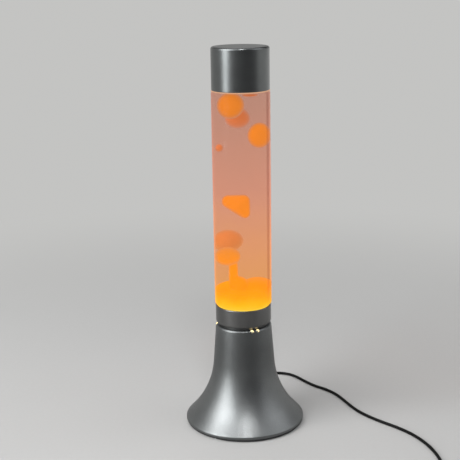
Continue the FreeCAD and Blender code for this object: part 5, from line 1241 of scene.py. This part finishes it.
# %% Finishes for kept solids
KEPT = [
    (black_moulding, "base_plate cord_clamp cord_ties"),
    (screw_metal, "plate_screws clamp_screws terminal_screws switch_screws"),
    (foot_rubber, "rubber_feet"),
    (zinc_metal, "holder_bracket bracket_rivets"),
    (brass_metal, "holder_stud stud_nut thread_sleeve centre_contact"),
    (holder_skin, "holder_body"),
    (insulator_skin, "bulb_tip"),
    (stem_glow, "bulb_stem"),
    (wire_metal, "bulb_filament wire_ring"),
    (block_skin, "terminal_block"),
    (wire_skin, "lamp_wires"),
    (liner_skin, "crown_liner"),
    (switch_skin, "switch_lower switch_upper plug_body"),
    (rocker_skin, "switch_rocker"),
    (nickel_metal, "plug_pins"),
]
for material, names in KEPT:
    for name in names.split():
        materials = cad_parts[name].data.materials
        materials.clear()
        materials.append(material)
print("kept solids:", sum(len(names.split()) for _, names in KEPT))

# %% [markdown]
# The stage: a wide pale floor, a soft room with a pale backdrop low down behind the lamp, and
# six soft lamps. The key, a low strip and a window stand to the left and in front, so the
# metal is bright on its left side and falls to grey on its right, where a weak fill stands.
# A small lamp in front makes the second spot on the foot, and one above lights the back. The
# backdrop comes further round on the right, and a mirror sees it brighter there.

# %% Floor
BACKDROP = (0.55, 0.55, 0.54)
FLOOR_HALF = 30.0
BACKDROP_TURN = 0.38
MIRRORED_FLOOR_LOSS = 0.33
RIGHT_GAIN, RIGHT_FULL = 0.5, 0.8


def towards_back(tree, place):
    """How far a place lies behind the lamp; the backdrop comes further round on the right."""
    right = math_node(tree, "MAXIMUM", place["X"], 0.0)
    return plus(tree, place["Y"], times(tree, right, BACKDROP_TURN))


def pale_far_away(material, near, far, colour):
    """
    Far off a camera sees an even pale floor, and so does a mirror behind the lamp; near it is the real one.
    A mirror also sees the near floor dimmer, and the backdrop brighter on the right.
    """
    tree = material.node_tree
    surface = next(node for node in tree.nodes if node.type == "OUTPUT_MATERIAL").inputs["Surface"]
    real = surface.links[0].from_socket
    spot = add_node(tree, "TexCoord").outputs["Object"]
    distance = add_node(tree, "VectorMath", operation="LENGTH", in_0=spot).outputs["Value"]
    place = place_parts(tree)
    rays = add_node(tree, "LightPath").outputs
    by_mirror = rays["Is Glossy Ray"]
    by_camera = plus(tree, rays["Is Camera Ray"], rays["Is Transmission Ray"], clamp=True)
    behind = stretch(tree, towards_back(tree, place), -0.5, 0.5, kind="SMOOTHSTEP")
    mirrored = times(tree, by_mirror, behind)
    # as if the lamp stood on a darker shelf
    dark = add_node(tree, "Emission", in_Strength=0.0).outputs[0]
    near_floor = mix_shaders(tree, times(tree, by_mirror, MIRRORED_FLOOR_LOSS), real, dark)
    brighter = stretch(tree, place["X"], 0.0, RIGHT_FULL, to_high=RIGHT_GAIN, kind="SMOOTHSTEP")
    power = plus(tree, times(tree, mirrored, brighter), 1.0)
    even = add_node(tree, "Emission", in_Color=(*colour, 1), in_Strength=power).outputs[0]
    for_camera = times(tree, by_camera, stretch(tree, distance, near, far, kind="SMOOTHSTEP"))
    for_mirror = times(tree, mirrored, stretch(tree, distance, near, far / 2, kind="SMOOTHSTEP"))
    share = math_node(tree, "MAXIMUM", for_camera, for_mirror)
    tree.links.new(mix_shaders(tree, share, near_floor, even), surface)


pale_far_away(floor_skin, near=0.15, far=0.95, colour=BACKDROP)
floor_mesh = bpy.data.meshes.new("Floor")
floor_corners = [(x * FLOOR_HALF, y * FLOOR_HALF, 0) for x, y in ((-1, -1), (1, -1), (1, 1), (-1, 1))]
floor_mesh.from_pydata(floor_corners, [], [(0, 1, 2, 3)])
floor_mesh.materials.append(floor_skin)
floor = add_piece("Floor", floor_mesh)
print(f"floor: {2 * FLOOR_HALF:.0f} m wide")


# %% World
def build_world():
    """A soft room, brightest at its left and right sides, with the pale backdrop low down behind the lamp."""
    world = bpy.data.worlds.new("Soft studio")
    scene.world = world
    world.use_nodes = True
    tree = world.node_tree
    tree.nodes.clear()
    place = place_parts(tree, "Generated")
    stops = [
        (0.0, (0.46, 0.46, 0.455)),
        (0.30, (0.27, 0.27, 0.27)),
        (0.58, (0.11, 0.11, 0.115)),
        (0.80, (0.10, 0.10, 0.105)),
        (0.92, (0.38, 0.38, 0.39)),
        (1.0, (0.98, 0.98, 1.0)),
    ]
    room = colour_ramp(tree, stretch(tree, place["X"], -1.0, 1.0), stops)
    # a camera sees the backdrop all round
    rise = stretch(tree, place["Z"], 0.10, 0.45, kind="SMOOTHSTEP")
    behind = stretch(tree, towards_back(tree, place), -0.2, 0.3, kind="SMOOTHSTEP")
    seen = math_node(tree, "MAXIMUM", behind, add_node(tree, "LightPath").outputs["Is Camera Ray"])
    low_down = times(tree, less(tree, 1.0, rise), seen)
    sky = add_node(
        tree, "Background", in_Color=blend(tree, low_down, room, BACKDROP), in_Strength=1.0
    )
    add_node(tree, "OutputWorld", in_Surface=sky.outputs[0])


build_world()
print("world:", scene.world.name)


# %% Lamps
def soft_lamp(name, place, target, width, height, power, colour):
    """A soft box with its longer side upright."""
    data = bpy.data.lights.new(name, "AREA")
    data.shape, data.size, data.size_y, data.energy, data.color = "RECTANGLE", width, height, power, colour
    lamp = bpy.data.objects.new(name, data)
    lamp.location = place
    lamp.rotation_euler = (Vector(target) - Vector(place)).to_track_quat("-Z", "Y").to_euler()
    scene.collection.objects.link(lamp)


# name, place, target, width, height, power, colour
for settings in (
    ("Key", (-1.34, -0.80, 0.95), (0, 0, 0.15), 1.35, 1.10, 20, (0.98, 0.995, 1.0)),
    ("Low strip", (-1.30, -0.76, 0.22), (0, 0, 0.3), 0.56, 0.70, 5.6, (0.98, 1.0, 1.0)),
    ("Window", (-0.98, -0.66, 1.34), (0, 0, 0.05), 1.25, 0.80, 12, (0.98, 0.99, 1.0)),
    ("Fill", (1.25, -0.20, 1.30), (0, 0, 0.05), 1.50, 1.30, 6, (0.96, 0.98, 1.0)),
    ("Front", (0.07, -0.97, 1.39), (0, 0, 0.02), 0.26, 0.30, 7.4, (1, 1, 1)),
    ("Top", (0.0, 0.7, 1.8), (0, 0, 0.2), 1.2, 1.2, 5, (1, 1, 1)),
):
    soft_lamp(*settings)
print("lamps:", len(bpy.data.lights))
